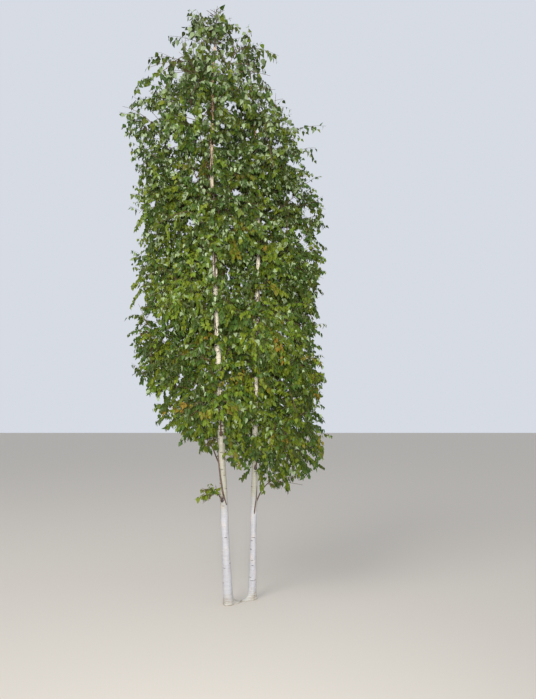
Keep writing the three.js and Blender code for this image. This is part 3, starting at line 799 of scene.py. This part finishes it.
def scattered(name, points, facts, shapes, material):
    # Shapes on points, one of three to each.
    piece = newPiece(name, points, facts=facts)
    first, second, third = shapes
    return worked(piece, scatter, {"First": first, "Second": second, "Third": third, "Material": material})


def readPoints(mesh):
    flat = np.zeros(len(mesh.vertices) * 3, np.float32)
    mesh.vertices.foreach_get("co", flat)
    return flat.reshape(-1, 3).astype(float)


def wrapRound(piece, stem, girth):
    # From unrolled bark, across, up and out, to the stem's skin.
    flat = readPoints(piece.data)
    heading = flat[:, 0] / girth
    places = onSkin(stem, np.clip(flat[:, 1], marks["lowest"], stem["height"]), heading, flat[:, 2])
    piece.data.vertices.foreach_set("co", cutAtTheMiddle(stem, places).astype(np.float32).ravel())
    piece.data.update()


def unrolled(count, lowest, highest, girth):
    heading = rng.uniform(-math.pi, math.pi, count)
    return np.stack([heading * girth, rng.uniform(lowest, highest, count), np.zeros(count)], axis=-1)


def markPiece(name, stem, girth, spots, sizes, shape, shapes, finish):
    # Shapes laid flat on unrolled bark, square to the stem, and then wrapped round it.
    count = len(spots)
    facts = {"way": np.tile([0.0, 1.0, 0.0], (count, 1)), "face": np.tile([0.0, 0.0, 1.0], (count, 1)),
             "extent": np.stack(sizes, axis=-1), "shape": shape}
    piece = scattered(name, spots, facts, shapes, finishes[finish])
    wrapRound(piece, stem, girth)
    settled(piece, "white_bark", [])


def lenticelPiece(stemName, stem, girth):
    lenses = marks["lenses"]
    counts = [int(lens["perMetre"] * stem["height"]) for lens in lenses]
    spots = np.vstack([unrolled(count, lens["foot"], stem["height"] - lens["top"], girth)
                       for lens, count in zip(lenses, counts)])
    long, tall = [np.concatenate([rng.uniform(*lens[side], count) for lens, count in zip(lenses, counts)])
                  for side in ("long", "tall")]
    long *= (stemRadius(stem, spots[:, 1]) / girth) ** 0.5
    lift = np.repeat([lens["lift"] for lens in lenses], counts)
    shapes = [lensShapes[0], lensShapes[1], lensShapes[1]]
    markPiece(f"lenticels_{stemName}", stem, girth, spots, [long, tall, lift],
              np.repeat([0, 1], counts), shapes, "lenticel")


def curlPiece(stemName, stem, girth):
    # The curls crowd towards the stem's foot.
    look = marks["curls"]
    count, span = int(look["perMetre"] * look["upTo"]), look["upTo"] - look["foot"]
    spots = unrolled(count, look["foot"], look["upTo"], girth)
    spots[:, 1] = look["foot"] + span * ((spots[:, 1] - look["foot"]) / span) ** look["crowding"]
    long = rng.uniform(*look["long"], count)
    long *= rng.choice([-1, 1], count)
    tall = rng.uniform(*look["tall"], count)
    lift = np.abs(long) * rng.uniform(*look["lift"], count)
    markPiece(f"curls_{stemName}", stem, girth, spots, [long, tall, lift],
              rng.integers(0, 3, count), curlShapes, "paperCurl")


lensShapes = [lensShape("wideLens", marks["lenses"][0]["columns"]),
              lensShape("fineLens", marks["lenses"][1]["columns"])]
curlShapes = [curlShape(name, *look) for name, look in marks["curls"]["shapes"].items()]
for stemName, stem in stems.items():
    girth = float(stemRadius(stem, 1.0))
    lenticelPiece(stemName, stem, girth)
    curlPiece(stemName, stem, girth)


# Boughs, twigs and leaves
wood = {
    "boughSides": 10, "boughSlim": 0.72, "boughEnd": 0.0022, "boughPower": 0.75, "boughPoints": 26,
    "boughRelief": 0.0012, "boughGrain": 90.0,
    "wobble": 0.006, "wobbleRate": 17, "wobbleWay": (1, -0.6, 0.3),
    "massPoints": 22, "lookAround": 0.02, "betweenTwigs": 9, "longer": 1.45, "twigSides": 5,
    "twigFoot": 0.0034, "twigEnd": 0.0013, "twigDroop": (0.10, 0.30), "twigStep": 0.035, "twigSlack": 0.97,
    "bareTwigs": 4, "bareTwigFrom": 0.16, "bareTwigLength": 0.30,
    "shootGap": 0.105, "shootFrom": 1.20, "shootLength": (0.22, 0.50), "shootAngle": (0.7, 1.15),
    "shootTurn": 0.4, "shootSunk": 0.7, "lowPoints": 24, "overlap": 0.06, "clear": 0.004,
}
crownEdge = {
    "lowShoot": 0.085, "lowestLeft": 1.36, "lowestRight": 0.95, "lowestSide": (-0.08, 0.36),
    "ragged": 0.09, "raggedWaves": (17, 11), "fringeHigh": 0.40, "fringeShare": 0.5,
    "airyFrom": 4.0, "airyTo": 4.9, "airyShare": 0.50, "airyInside": 0.32, "airyOutside": 0.64,
    "tipFrom": 5.35, "tipHigh": 0.2, "tipFull": 0.25,
}
sprayLook = {
    "gap": 0.040, "start": 0.12, "angle": math.radians(50), "angleShare": (0.7, 1.2), "endShare": 0.15,
    "length": (0.15, 0.33), "droop": (0.25, 0.80), "slack": (0.84, 1.00), "leafGap": (0.017, 0.022),
    "denseGap": 0.54, "airyGap": 1.18, "foot": 0.0012, "end": 0.0006, "step": 0.05, "sides": 3,
    "lookBack": 0.03, "outriders": 0.13, "outRise": (0.4, 1.1), "outTurn": 0.25, "outLength": (0.22, 0.40),
    "outDroop": (0.45, 0.85), "outSlack": 1.05, "outGap": 0.032,
}
leafLay = {
    "start": 0.03, "least": 2, "lookBack": 0.02, "roll": 0.45, "forward": 0.45, "aside": 0.75,
    "hang": (0.55, 1.65), "outward": 0.30, "upward": 0.40, "turn": 0.7, "length": (0.046, 0.074),
    "sizeHeights": (3.8, 5.3), "sizeShares": (0.82, 1.24), "endLeaf": 0.85, "middle": 0.6,
    "stemClear": 0.012, "lowestTip": 0.70, "innerBare": (0.03, 0.18),
}
filling = {
    "rounds": 3, "tries": 2500, "lowest": 1.15, "slack": 0.93, "stemClear": 0.15,
    "heights": (3.7, 4.7), "empty": (0.086, 0.125), "apart": 0.15, "neighbours": 40,
    "reach": (0.06, 0.65), "fall": 0.1, "lift": 0.12, "past": 0.10,
}

# Twigs that stand out of the crown in the photograph, by the pixel that each one's tip is at, its
# depth and its length
reaching = {
    "tips": [(197, 12, 0.0, 0.34), (192, 20, 0.1, 0.30), (187, 27, -0.1, 0.28), (203, 16, -0.1, 0.30),
             (224, 22, -0.1, 0.28), (238, 24, 0.0, 0.30), (246, 31, -0.1, 0.28), (230, 30, 0.1, 0.26),
             (196, 9, 0.0, 0.40), (186, 16, -0.1, 0.34), (214, 22, 0.0, 0.42), (232, 18, 0.0, 0.46),
             (249, 24, 0.1, 0.44), (168, 36, 0.0, 0.40), (158, 52, -0.1, 0.36), (148, 58, 0.0, 0.40),
             (279, 56, 0.1, 0.42), (262, 42, 0.1, 0.36), (132, 96, 0.0, 0.36), (119, 112, -0.1, 0.36),
             (283, 99, 0.1, 0.32), (292, 114, 0.15, 0.30), (326, 126, 0.13, 0.50), (316, 148, 0.2, 0.40),
             (320, 176, 0.1, 0.34), (326, 214, 0.1, 0.34), (139, 150, 0.0, 0.34), (137, 190, 0.0, 0.30)],
    "near": 0.62, "level": -0.05, "arch": 0.30, "points": 14, "leafGap": 0.040, "foot": 0.0026,
    "end": 0.0009, "sideTwigs": 2, "sideFrom": 5, "sideGap": 3, "sideTurn": 0.12, "sideFall": 0.10,
    "sideLength": (0.10, 0.18), "sideDroop": 0.5, "sideStep": 0.03,
}

# Dark twigs low on the stems, by the pixels that they pass, how far in front of the stem's middle they
# are, and their radius at each end
lowTwigs = [
    {"stem": "main", "way": [(226, 505), (222.5, 491), (220.5, 478), (219, 466), (218.2, 452), (218, 436)],
     "ahead": (0.016, 0.042, 0.036, 0.022, 0.010, 0.0), "radius": (0.0095, 0.0040)},
    {"stem": "main", "way": [(223.5, 456), (227, 450), (230.5, 446)],
     "ahead": (0.012, 0.03, 0.04), "radius": (0.006, 0.002)},
    {"stem": "second", "way": [(253.5, 518), (255, 508), (256.3, 498), (257, 486)],
     "ahead": (0.012, 0.032, 0.036, 0.040), "radius": (0.0070, 0.0028)},
]


class Lines:
    # Many tapering lines in one mesh of edges, with a thickness at each point.
    def __init__(self):
        self.points, self.edges, self.thickness = [], [], []

    def add(self, points, foot, end, power=1.0):
        first = len(self.points)
        self.points += [tuple(p) for p in points]
        self.edges += [(first + i, first + i + 1) for i in range(len(points) - 1)]
        self.thickness += list(blend(foot, end, np.linspace(0, 1, len(points)) ** power))

    def piece(self, name, sides, nodes, finish, reliefDepth=0.0, grain=1.0):
        piece = newPiece(name, self.points, self.edges, facts={"thickness": np.array(self.thickness)})
        worked(piece, tubes, {
            "Sides": sides, "Relief": reliefDepth, "Grain": grain, "Material": finishes[finish]})
        settled(piece, "dark_bark", nodes)


def sideAxes(ahead):
    # Two directions square to a line's own. Up is nudged, so that an upright line has them too.
    level = unit(np.cross(ahead, up + 1e-3))
    return level, np.cross(level, ahead)


def sideWay(ahead, angle, roll):
    # A direction that leaves a line at an angle, turned round it by roll.
    ahead = unit(ahead)
    level, third = sideAxes(ahead)
    return ahead * math.cos(angle) + (level * math.cos(roll) + third * math.sin(roll)) * math.sin(angle)


def atLengths(line, places):
    # Points on a line at lengths from its start.
    along = np.concatenate([[0], np.cumsum(np.linalg.norm(np.diff(line, axis=0), axis=1))])
    return np.stack([np.interp(places, along, line[:, k]) for k in range(3)], axis=-1)


def lineLength(line):
    return float(np.linalg.norm(np.diff(line, axis=0), axis=1).sum())


def drooping(start, direction, length, droop, step):
    count = max(3, int(length / step) + 1)
    t = np.linspace(0, 1, count)[:, None]
    return start + direction * length * t - up * length * droop * t * t


def lowestLeaf(points):
    # The crown hangs lower on the right of the main stem than on its left.
    side = points[:, 0] - stemCentre(stems["main"], points[:, 2])[:, 0]
    left, right = crownEdge["lowestSide"]
    share = np.clip((side - left) / (right - left), 0, 1)
    acrossRate, deepRate = crownEdge["raggedWaves"]
    ragged = crownEdge["ragged"] * np.sin(points[:, 0] * acrossRate + points[:, 1] * deepRate)
    return blend(crownEdge["lowestLeft"], crownEdge["lowestRight"], share) + ragged


def airiness(z):
    # 0 low in the crown and 1 near its top.
    return np.clip((z - crownEdge["airyFrom"]) / (crownEdge["airyTo"] - crownEdge["airyFrom"]), 0, 1)


def growsOut(points):
    # The chance that a spray grows at a place: less high up, less still towards the outside there, and
    # less along the crown's lower edge.
    z = points[:, 2]
    tip = np.clip((z - crownEdge["tipFrom"]) / crownEdge["tipHigh"], 0, 1)
    high = airiness(z) * (1 - crownEdge["tipFull"] * tip)
    out = np.clip((crownShare(points) - crownEdge["airyShare"]) / (1 - crownEdge["airyShare"]), 0, 1)
    fringe = np.clip((z - lowestLeaf(points)) / crownEdge["fringeHigh"], 0, 1)
    dense = 1 - high * (crownEdge["airyInside"] + crownEdge["airyOutside"] * out)
    return dense * blend(crownEdge["fringeShare"], 1, fringe)


def keptPart(limb, line, slack):
    # The part of a line, from its start, in the crown, in the limb's own space and off the stems.
    # The lowest limb is a short shoot below the crown.
    good = offTheStems(line, wood["clear"]) & ~inSky(line) & inBox(line)
    if limb is limbs[0]:
        good &= axisDistances(line)[:, 0] < crownEdge["lowShoot"]
    else:
        good &= (crownShare(line) < slack) & (line[:, 2] > lowestLeaf(line))
    if limb:
        far = axisDistances(line)
        good &= far[:, limb.index] <= far.min(1) + wood["overlap"]
    bad = np.flatnonzero(~good[1:])
    return line[:int(bad[0]) + 1] if len(bad) else line


class Sprays:
    # The leaves of the whole tree, one to a row: place, way, face, length and its spray's number.
    def __init__(self):
        self.rows, self.centres = [], []

    def add(self, places, ways, faces, lengths):
        spray = np.full((len(places), 1), len(self.centres))
        self.centres.append(places.mean(0))
        self.rows.append(np.hstack([places, ways, faces, lengths[:, None], spray]))


def leafSpray(stem, line, gap):
    places = np.arange(leafLay["start"], lineLength(line), gap)
    count = len(places)
    if count < leafLay["least"]:
        return
    points = atLengths(line, places)
    ahead = unit(points - atLengths(line, places - leafLay["lookBack"]))
    level, third = sideAxes(ahead)
    roll = rng.uniform(0, math.pi) + math.pi * np.arange(count) + rng.normal(0, leafLay["roll"], count)
    aside = level * np.cos(roll)[:, None] + third * np.sin(roll)[:, None]
    hang = rng.uniform(*leafLay["hang"], count)[:, None]
    ways = unit(ahead * leafLay["forward"] + aside * leafLay["aside"] - up * hang)
    outward = unit(points - stemCentre(stem, points[:, 2]))
    anyWay = rng.normal(0, leafLay["turn"], (count, 3))
    faces = unit(outward * leafLay["outward"] + up * leafLay["upward"] + anyWay)
    sizes = rng.uniform(*leafLay["length"], count)
    sizes *= np.interp(points[:, 2], leafLay["sizeHeights"], leafLay["sizeShares"])
    sizes[-1] *= leafLay["endLeaf"]
    sprays.add(points, ways, faces, sizes)


def outrider(stem, start):
    # A spray that stands out of the crown, how far out it may go, and the gap between its leaves.
    outward = unit((start - stemCentre(stem, start[2])) * np.array([1, 1, 0]) + 1e-6)
    rise = rng.uniform(*sprayLook["outRise"])
    direction = unit(outward + up * rise + rng.normal(0, sprayLook["outTurn"], 3))
    length, droop = rng.uniform(*sprayLook["outLength"]), rng.uniform(*sprayLook["outDroop"])
    line = drooping(start, direction, length, droop, sprayLook["step"])
    return line, sprayLook["outSlack"], sprayLook["outGap"]


def usualSpray(start, ahead, turn, atEnd):
    angle = sprayLook["angle"] * rng.uniform(*sprayLook["angleShare"])
    direction = sideWay(ahead, angle * (sprayLook["endShare"] if atEnd else 1), 2 * math.pi * turn)
    length, droop = rng.uniform(*sprayLook["length"]), rng.uniform(*sprayLook["droop"])
    line = drooping(start, direction, length, droop, sprayLook["step"])
    return line, rng.uniform(*sprayLook["slack"]), rng.uniform(*sprayLook["leafGap"])


def growSprays(limb, stem, twig, turn):
    total = lineLength(twig)
    for place in np.append(np.arange(sprayLook["start"] * total, total, sprayLook["gap"]), total):
        start = atLengths(twig, place)
        ahead = start - atLengths(twig, place - sprayLook["lookBack"]) + 1e-6 * up
        turn += golden
        if rng.uniform() < sprayLook["outriders"]:
            line, slack, gap = outrider(stem, start)
        else:
            line, slack, gap = usualSpray(start, ahead, turn, place == total)
        line = keptPart(limb, line, slack)
        gap *= blend(sprayLook["denseGap"], sprayLook["airyGap"], float(airiness(start[2])))
        leafy = len(line) > 2 and lineLength(line) > leafLay["start"] + gap
        if leafy and (limb is limbs[0] or rng.uniform() < growsOut(line[-1:])[0]):
            sprayLines.add(line, sprayLook["foot"], sprayLook["end"])
            leafSpray(stem, line, gap)


def growTwig(limb, stem, start, direction, length, turn):
    line = drooping(start, direction, length, rng.uniform(*wood["twigDroop"]), wood["twigStep"])
    line = keptPart(limb, line, wood["twigSlack"])
    if len(line) > 2:
        twigLines.add(line, wood["twigFoot"], wood["twigEnd"])
        growSprays(limb, stem, line, turn)


def growLimb(limb):
    # The bough and its mass's stem are one tapering line.
    share = np.linspace(0, 1, wood["boughPoints"])
    wave = np.sin(share * wood["wobbleRate"] + limb.seed) * share
    whole = limb.path(share) + wood["wobble"] * wave[:, None] * np.array(wood["wobbleWay"])
    boughLines.add(whole, limb.footRadius * wood["boughSlim"], wood["boughEnd"], wood["boughPower"])

    def onBough(t):
        return np.stack([np.interp(t, share, whole[:, k]) for k in range(3)], axis=-1)

    def leaving(t, roll):
        ahead = onBough(min(t + wood["lookAround"], 1)) - onBough(t - wood["lookAround"])
        return sideWay(ahead, growth["twigAngle"], 2 * math.pi * roll)

    mass = onBough(np.linspace(limb.bare, 1, wood["massPoints"]))
    growSprays(limb, limb.stem, mass, chance(limb.seed, 9))
    usual = growth["twigLength"] * wood["longer"]
    for j in range(growth["twigs"] + wood["betweenTwigs"]):
        # The source's own twigs come first, and then one between each two of them.
        step = j if j < growth["twigs"] else j - growth["twigs"] - 0.5
        seed = limb.seed * 100 + j * 4 + 4
        place = blend(growth["firstTwig"], growth["lastTwig"], max(0, step + 0.5) / growth["twigs"])
        spread = 1 + growth["twigSpread"] * (chance(seed, 2) - 0.5)
        length = usual * (1 - growth["shortening"] * place) * spread
        t = blend(limb.bare, 1, place)
        way = leaving(t, (j * golden + chance(limb.seed, 1)) % 1)
        growTwig(limb, limb.stem, onBough(t), way, length, chance(seed, 5))
    for j in range(wood["bareTwigs"] if limb.bare and limb.index else 0):
        t = blend(wood["bareTwigFrom"], limb.bare, (j + 0.5) / wood["bareTwigs"])
        way = leaving(t, chance(limb.seed, 20 + j))
        growTwig(None, limb.stem, onBough(t), way, wood["bareTwigLength"], chance(limb.seed, 30 + j))


def growShoots(stem):
    # Short leafy shoots straight from a stem, all the way up.
    count = int((stem["height"] - wood["shootFrom"]) / wood["shootGap"])
    for k in range(count):
        z = wood["shootFrom"] + (k + rng.uniform(0, 1)) * wood["shootGap"]
        heading = 2 * math.pi * golden * k + rng.uniform(-wood["shootTurn"], wood["shootTurn"])
        outward = np.array([math.cos(heading), math.sin(heading), 0])
        start = stemCentre(stem, z) + outward * (stemRadius(stem, z) * wood["shootSunk"])
        angle = rng.uniform(*wood["shootAngle"])
        direction = outward * math.sin(angle) + up * math.cos(angle)
        growTwig(None, stem, start, direction, rng.uniform(*wood["shootLength"]), rng.uniform())


def nearTree(points):
    tree = KDTree(len(points))
    for k, point in enumerate(points):
        tree.insert(point, k)
    tree.balance()
    return tree


def nearestStem(spot):
    return min(stems.values(), key=lambda stem: math.hypot(*(spot - stemCentre(stem, spot[2]))[:2]))


def fillSpot(spot, woodTree):
    # A twig that grows from the nearest wood below into a spot, if some is near enough.
    least, most = filling["reach"]
    for place, _, far in woodTree.find_n(spot, filling["neighbours"]):
        run = spot - np.array(place)
        if least < far < most and run[2] > -filling["fall"] * far:
            direction, length = run / far + up * filling["lift"], far + filling["past"]
            growTwig(None, nearestStem(spot), np.array(place), direction, length, rng.uniform())
            return True
    return False


def fillVoids():
    # Fills what is still empty of leaves in the crown.
    leafTree = nearTree(np.vstack(sprays.rows)[:, :3])
    woodTree = nearTree(boughLines.points + twigLines.points)
    low, high = np.array(cadBox)
    low[2] = filling["lowest"]
    spots = rng.uniform(low, high, (filling["tries"], 3))
    free = ~inSky(spots) & offTheStems(spots, filling["stemClear"])
    spots = spots[free & (crownShare(spots) < filling["slack"])]
    spots = spots[rng.uniform(0, 1, len(spots)) < growsOut(spots) ** 2]
    filled = []
    for spot in spots:
        empty = np.interp(spot[2], filling["heights"], filling["empty"])
        crowded = any(np.linalg.norm(spot - other) < filling["apart"] for other in filled)
        if leafTree.find(spot)[2] >= empty and not crowded and fillSpot(spot, woodTree):
            filled.append(spot)
    print("filled:", len(filled), "of", len(spots), "spots")


def growReaching():
    # Each grows from the wood nearest to its own length from the tip, arches and hangs its leaves.
    starts = np.array(boughLines.points + twigLines.points)
    inCrown = crownShare(starts) < 1
    for px, py, y, length in reaching["tips"]:
        tip = placeAt(px, py, y)
        run = tip - starts
        miss = np.abs(np.linalg.norm(run, axis=1) - length)
        miss = np.where(inCrown & (run[:, 2] > reaching["level"]), miss, np.inf)
        start = starts[int(np.argmin(miss))]
        if miss.min() > reaching["near"]:
            continue
        t = np.linspace(0, 1, reaching["points"])[:, None]
        line = start + (tip - start) * t + up * length * reaching["arch"] * t * (1 - t)
        line = line[inBox(line)]
        twigLines.add(line, reaching["foot"], reaching["end"])
        stem = nearestStem(tip)
        leafSpray(stem, line, reaching["leafGap"])
        for k in range(reaching["sideTwigs"]):
            root = line[min(reaching["sideFrom"] + reaching["sideGap"] * k, len(line) - 1)]
            way = unit(tip - start + rng.normal(0, reaching["sideTurn"], 3) - up * reaching["sideFall"])
            sideLength = rng.uniform(*reaching["sideLength"])
            side = drooping(root, way, sideLength, reaching["sideDroop"], reaching["sideStep"])
            side = side[inBox(side)]
            if len(side) > 2:
                sprayLines.add(side, sprayLook["foot"], sprayLook["end"])
                leafSpray(stem, side, reaching["leafGap"])


def growLowTwigs():
    for twig in lowTwigs:
        stem = stems[twig["stem"]]
        line = []
        for (px, py), out in zip(twig["way"], twig["ahead"]):
            centre = stemCentre(stem, placeAt(px, py, 0)[2])
            line.append(placeAt(px, py, centre[1] - out))
        line = np.array(line)
        places = np.linspace(0, lineLength(line), wood["lowPoints"])
        boughLines.add(atLengths(line, places), *twig["radius"])


boughLines, twigLines, sprayLines, sprays = Lines(), Lines(), Lines(), Sprays()
for limb in limbs:
    growLimb(limb)
for stem in stems.values():
    growShoots(stem)
for _ in range(filling["rounds"]):
    fillVoids()
growReaching()
growLowTwigs()
leaves = np.vstack(sprays.rows)
print("grown:", len(twigLines.points), "twig points,", len(sprays.centres), "sprays,", len(leaves), "leaves")

tips = leaves[:, :3] + leaves[:, 3:6] * leaves[:, 9:10]
middles = blend(leaves[:, :3], tips, leafLay["middle"])
bareIn, bareOut = leafLay["innerBare"]
kept = ~thinnedOut(middles) & ~beforeStem(middles) & offTheStems(middles, leafLay["stemClear"])
kept &= rng.uniform(0, 1, len(leaves)) < (crownShare(middles) - bareIn) / (bareOut - bareIn)
kept &= (tips[:, 2] > leafLay["lowestTip"]) & inBox(tips)
leaves = leaves[kept]
print("kept:", len(leaves), "leaves")


# Leaf shapes: half the outline from the foot to the tip, as shares of the width and the length, and
# how far each of the three leaves is folded, droops and twists
leafShapes = {
    "outline": ((0.28, 0.21), (0.50, 0.40), (0.28, 0.70)), "midrib": 0.52, "stalk": 0.17,
    "stalkWidth": 0.010, "width": 0.62,
    "forms": {"leafFlat": (0.18, 0.14, 0.0), "leafFolded": (0.42, 0.24, 0.10),
              "leafCurled": (0.30, 0.42, -0.16)},
}


def leafShape(name, fold, droop, twist):
    stalk, width, thin = leafShapes["stalk"], leafShapes["width"], leafShapes["stalkWidth"]

    def bent(x, y):
        lift = abs(x) * width * fold - droop * max(0, y - stalk) ** 2
        return (x * width, y, lift + twist * (y - stalk) * x)

    rib = [bent(0, stalk), bent(0, leafShapes["midrib"]), bent(0, 1)]
    right = [bent(x, y) for x, y in leafShapes["outline"]]
    left = [bent(-x, y) for x, y in leafShapes["outline"]]
    points = rib + right + left + [(-thin, 0, 0), (thin, 0, 0)]
    # The foot, the midrib and the tip come first, and each half is a fan round the midrib.
    faces = [(0, 3, 1), (3, 4, 1), (4, 5, 1), (5, 2, 1), (0, 1, 6), (6, 1, 7), (7, 1, 8), (8, 1, 2)]
    onRib = [1.0] * len(rib) + [0.0] * (len(points) - len(rib))
    return newPiece(name, points, faces=faces + [(9, 10, 0)], facts={"rib": onRib})


# How the tints are dealt, and the sprays that the photograph shows turned, by the pixels they are at
dealt = {
    "greens": (0.30, 0.54, 0.78), "deepHigh": 0.28, "heights": (2.0, 2.6), "darker": 0.14, "lighter": 0.80,
    # the pale leaves' shares, low and high in the crown, are partly painted glints
    "patch": 0.36, "patchWaves": (7.1, 2.0, 3.3, 5.2, 6.0), "paleAndPaintedGlintLow": 0.05, "paleAndPaintedGlintHigh": 0.28,
    "turnedLow": 0.058, "turnedHigh": 0.002, "turnedPower": 2.5, "goldShare": 0.85, "leafShare": 0.6,
    "radius": 3.8, "widths": (0.85, 1.15),
    "gold": [(240, 93), (183, 164), (243, 172), (240, 228), (236, 246), (283, 322), (257, 360), (213, 427),
             (240, 378), (232, 444), (192, 355)],
    "amber": [(205, 165), (262, 248), (278, 350), (238, 378), (185, 405)],
}
codes = {tint: code for code, tint in enumerate(leafTints)}


def patches(x, y, z):
    # Waves from -1 to 1 through the crown, which gather the tints in patches.
    acrossRate, bend, bendRate, upRate, deepRate = dealt["patchWaves"]
    return np.sin(x * acrossRate + bend * np.sin(z * bendRate)) * np.sin(z * upRate + y * deepRate)


def sprayTints(centres, high):
    # One tint for each spray.
    draw = rng.uniform(0, 1, len(centres)) + dealt["patch"] * patches(*centres.T)
    deep, cool, mid = dealt["greens"]
    greens = [codes[name] for name in ("deep", "cool", "mid")]
    shades = [draw < blend(deep, dealt["deepHigh"], high), draw < cool, draw < mid]
    tint = np.select(shades, greens, codes["bright"])
    rare = rng.uniform(0, 1, len(centres))
    turned = blend(dealt["turnedHigh"], dealt["turnedLow"], (1 - high) ** dealt["turnedPower"])
    tint = np.where(rare < turned, codes["amber"], tint)
    tint = np.where(rare < turned * dealt["goldShare"], codes["gold"], tint)
    x, y, depth = inPicture(centres)
    inFront = depth < np.median(depth)
    for name in ("gold", "amber"):
        for px, py in dealt[name]:
            near = np.hypot(x - px, y - py) < dealt["radius"]
            tint = np.where(inFront & near, codes[name], tint)
    return tint


def leafCodes():
    # Each leaf has its spray's tint, some a shade darker or lighter, some pale with painted glints, and some not yet
    # turned.
    centres, spray = np.array(sprays.centres), leaves[:, 10].astype(int)
    lowest, span = dealt["heights"]
    high = np.clip((centres[:, 2] - lowest) / span, 0, 1)
    code = sprayTints(centres, high)[spray]
    shift = rng.uniform(0, 1, len(leaves))
    green = code < codes["pale"]
    code = np.where(green & (shift < dealt["darker"]), np.maximum(code - 1, codes["deep"]), code)
    code = np.where(green & (shift > dealt["lighter"]), np.minimum(code + 1, codes["bright"]), code)
    # Pale leaves are partly paler undersides and partly painted glints, more of them high in the crown.
    paleAndPaintedGlintShare = blend(dealt["paleAndPaintedGlintLow"], dealt["paleAndPaintedGlintHigh"], high[spray])
    code = np.where(green & (rng.uniform(0, 1, len(leaves)) < paleAndPaintedGlintShare), codes["pale"], code)
    still = ~green & (shift > dealt["leafShare"])
    return np.where(still, np.where(shift > dealt["lighter"], codes["bright"], codes["mid"]), code)


leafForms = [leafShape(name, *form) for name, form in leafShapes["forms"].items()]
codeOf = leafCodes()
foliageNodes = [limb.foliageNode for limb in limbs]
for tint, code in codes.items():
    own = leaves[codeOf == code]
    extent = np.repeat(own[:, 9:10], 3, axis=1)
    extent[:, 0] *= rng.uniform(*dealt["widths"], len(own))
    facts = {"way": own[:, 3:6], "face": own[:, 6:9], "extent": extent,
             "shape": rng.integers(0, 3, len(own)), "tone": rng.uniform(0, 1, len(own))}
    piece = scattered(f"leaves_{tint}", own[:, :3], facts, leafForms, finishes[tint])
    settled(piece, "foliage", foliageNodes)

boughNodes = [limb.boughNode for limb in limbs if limb.boughNode]
boughLines.piece("boughs", wood["boughSides"], boughNodes, "boughBark",
                 wood["boughRelief"], wood["boughGrain"])
twigLines.piece("twigs", wood["twigSides"], foliageNodes, "twigBark")
sprayLines.piece("fine_twigs", sprayLook["sides"], foliageNodes, "twigBark")
for shape in [*lensShapes, *curlShapes, *leafForms]:
    bpy.data.objects.remove(shape)


# Floor, light and camera
studio = {
    "floorHalf": 60.0, "floor": srgb(204, 196, 184), "sky": srgb(214, 219, 228), "skyStrength": 1.0,
    "key": {"place": (-4.0, -5.5, 8.5), "size": 4.5, "power": 420, "spread": 180},
    "front": {"place": (0.35, -5.3, 1.8), "size": 0.5, "power": 125, "spread": 120},
    "aim": (0, 0, 2.8),
}


def floorPiece():
    half = studio["floorHalf"]
    piece = newPiece("floor", [(-half, -half, 0), (half, -half, 0), (half, half, 0), (-half, half, 0)],
                     faces=[(0, 1, 2, 3)])
    s = Surface("floor")
    piece.data.materials.append(s.finish(Base_Color=studio["floor"], Roughness=0.9))


def softLight(name):
    light = bpy.data.lights.new(name, "AREA")
    light.energy, light.size = studio[name]["power"], studio[name]["size"]
    light.spread = math.radians(studio[name]["spread"])
    lamp = bpy.data.objects.new(name, light)
    bpy.context.scene.collection.objects.link(lamp)
    lamp.location = studio[name]["place"]
    x, y, z = np.array(studio["aim"]) - np.array(studio[name]["place"])
    lamp.rotation_euler = (math.atan2(math.hypot(x, y), -z), 0, math.atan2(-x, y))


def photographCamera():
    data = bpy.data.cameras.new("camera")
    data.sensor_width = camera["sensor"]
    data.lens = camera["focalPixels"] * camera["sensor"] / camera["pictureSize"][1]
    eye = bpy.data.objects.new("camera", data)
    bpy.context.scene.collection.objects.link(eye)
    eye.location = camera["place"]
    eye.rotation_euler = (math.pi / 2 + camera["pitch"], 0, 0)
    bpy.context.scene.camera = eye


floorPiece()
softLight("key")
softLight("front")
world = bpy.data.worlds.new("world")
world.use_nodes = True
world.node_tree.nodes["Background"].inputs["Color"].default_value = studio["sky"]
world.node_tree.nodes["Background"].inputs["Strength"].default_value = studio["skyStrength"]
bpy.context.scene.world = world
bpy.context.scene.view_settings.view_transform = "Standard"
photographCamera()
